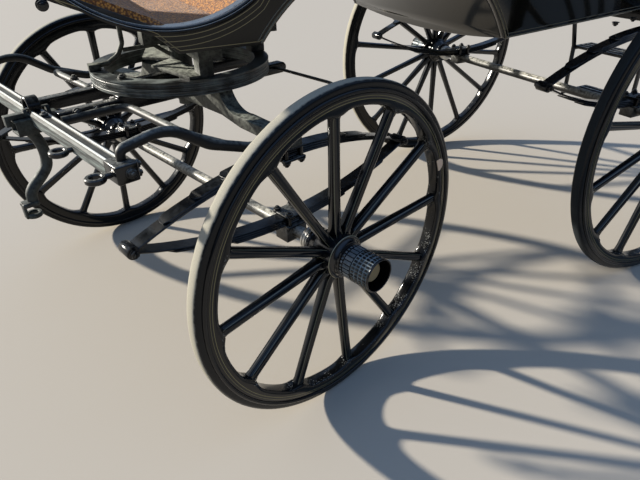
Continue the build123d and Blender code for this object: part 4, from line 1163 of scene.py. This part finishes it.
def welt(piece, corners, radius, every=0.018):
    """A sewn cord laid on a stuffed piece along a closed line of corners in millimetres."""
    line = []
    for a, b in zip(corners, corners[1:] + corners[:1]):
        a, b = Vector(a) * millimetre, Vector(b) * millimetre
        count = max(2, int((b - a).length / every))
        for k in range(count):
            found, spot, normal, face = piece.closest_point_on_mesh(a.lerp(b, k / count))
            line.append(spot + normal * radius * 0.3)
    return bar(piece.name + "_welt", line + line[:1], radius, 8)


def cushion_with_welts(name, low, high):
    """A box cushion and the welts sewn round its top and bottom edges."""
    piece = stuffed(name, low, high, 0.011, 0.024, (2, -1))
    welts = []
    x0, x1, y0, y1 = low[0] + 9, high[0] - 9, low[1] + 9, high[1] - 9
    for z in (low[2] + 10, high[2] - 6):
        corners = [(x0, y0, z), (x1, y0, z), (x1, y1, z), (x0, y1, z)]
        welts.append(welt(piece, corners, 0.0036))
    return piece, join(welts, 60)


drab, tree, place = new_material("drab_wool_cloth")
warp, weft = (add_node(tree, "ShaderNodeTexWave",
                       {"Vector": place, "Scale": 190.0, "Distortion": 1.2},
                       bands_direction=way).outputs["Fac"] for way in "XY")
weave = product(tree, warp, weft)
colour = mixed(tree, grain(tree, place, 16.0, detail=6.0), "#5b5443", "#7d735b")
colour = mixed(tree, product(tree, weave, 0.35), colour, "#4e4737")
surface(tree, colour, 0.9, (weave, 0.4, 0.0007), {"Sheen Weight": 0.35})
driver_pad = cushion_with_welts("driver_seat_cushion", (895, -495, 1408.3), (1445, 495, 1493.3))
bench_pad = cushion_with_welts("bench_near_cushion", (-460, 245, 1308.3), (860, 565, 1393.3))
far_half = Matrix.Diagonal((1, -1, 1, 1))
far_pad = [reflected(piece, far_half, name) for piece, name in
           zip(bench_pad, ("bench_far_cushion", "bench_far_cushion_welt"))]
for (cushion, welts), node in ((driver_pad, "driver_cushion"), (bench_pad, "bench_cushions"),
                               (far_pad, "bench_cushions")):
    dress(cushion, drab, "carriage", node, body_place)
    dress(welts, drab, "carriage", place=body_place)

# Each roll hangs by two straps, which pass round it and the rail
rolls = []
for name, low, high, flat_side, straps, way, loop in (
    ("driver_back_roll", (859.8, -460, 1600), (904.5, 460, 1720), (0, -1), (-168, 168), (0, 1, 0),
     [(845, 1590), (900, 1596), (912, 1660), (900, 1724), (845, 1730)]),
    ("bench_near_back_roll", (-380, 571.5, 1510), (715, 616.2, 1630), (1, 1), (-32, 367), (1, 0, 0),
     [(632, 1500), (577, 1506), (563, 1570), (577, 1634), (632, 1640)]),
):
    roll = stuffed(name, low, high, 0.009, 0.014, flat_side, 3.0)
    bands = []
    for spot in straps:
        line = [(out, spot, z) if way[1] else (spot, out, z) for out, z in loop]
        bands.append(bar(name + "_strap", eased(line + line[:1], (12, 20, 20, 12), 5), 0.0012, 8,
                         flat=9, upward=way))
    rolls.append((roll, join(bands, 60)))
rolls.append([reflected(piece, far_half, name) for piece, name in
              zip(rolls[1], ("bench_far_back_roll", "bench_far_back_roll_strap"))])
for roll, bands in rolls:
    dress(roll, patent, "carriage", "back_pads", body_place)
    dress(bands, patent, "carriage", place=body_place)

# The door's handle is a turned nickel bar on two short posts
nickel, tree, place = new_material("worn_nickel")
blotch = grain(tree, place, 90.0, detail=6.0)
surface(tree, mixed(tree, blotch, "#a9a498", "#d8d4c8"), ranged(tree, blotch, 0, 1, 0.12, 0.4),
        more={"Metallic": 1.0})
grip_line = [(-0.492, y, 1.268) for y in (0.148, 0.152, 0.17, 0.189, 0.208, 0.226, 0.230)]
grip = [bar("door_handle", grip_line, 0.0092, 16)]
for y, turn in ((0.154, -math.pi / 2), (0.224, math.pi / 2)):
    grip.append(copied(head, Matrix.Translation((-0.492, y, 1.268))
                       @ Matrix.Rotation(turn, 4, "X") @ Matrix.Diagonal((1.5, 1.5, 1.6, 1))))
dress(join(grip, 50), nickel, "door", place=body_place)
for pattern in (nut, head, stitch):
    bpy.data.objects.remove(pattern)

bpy.context.scene.view_settings.view_transform = "Standard"
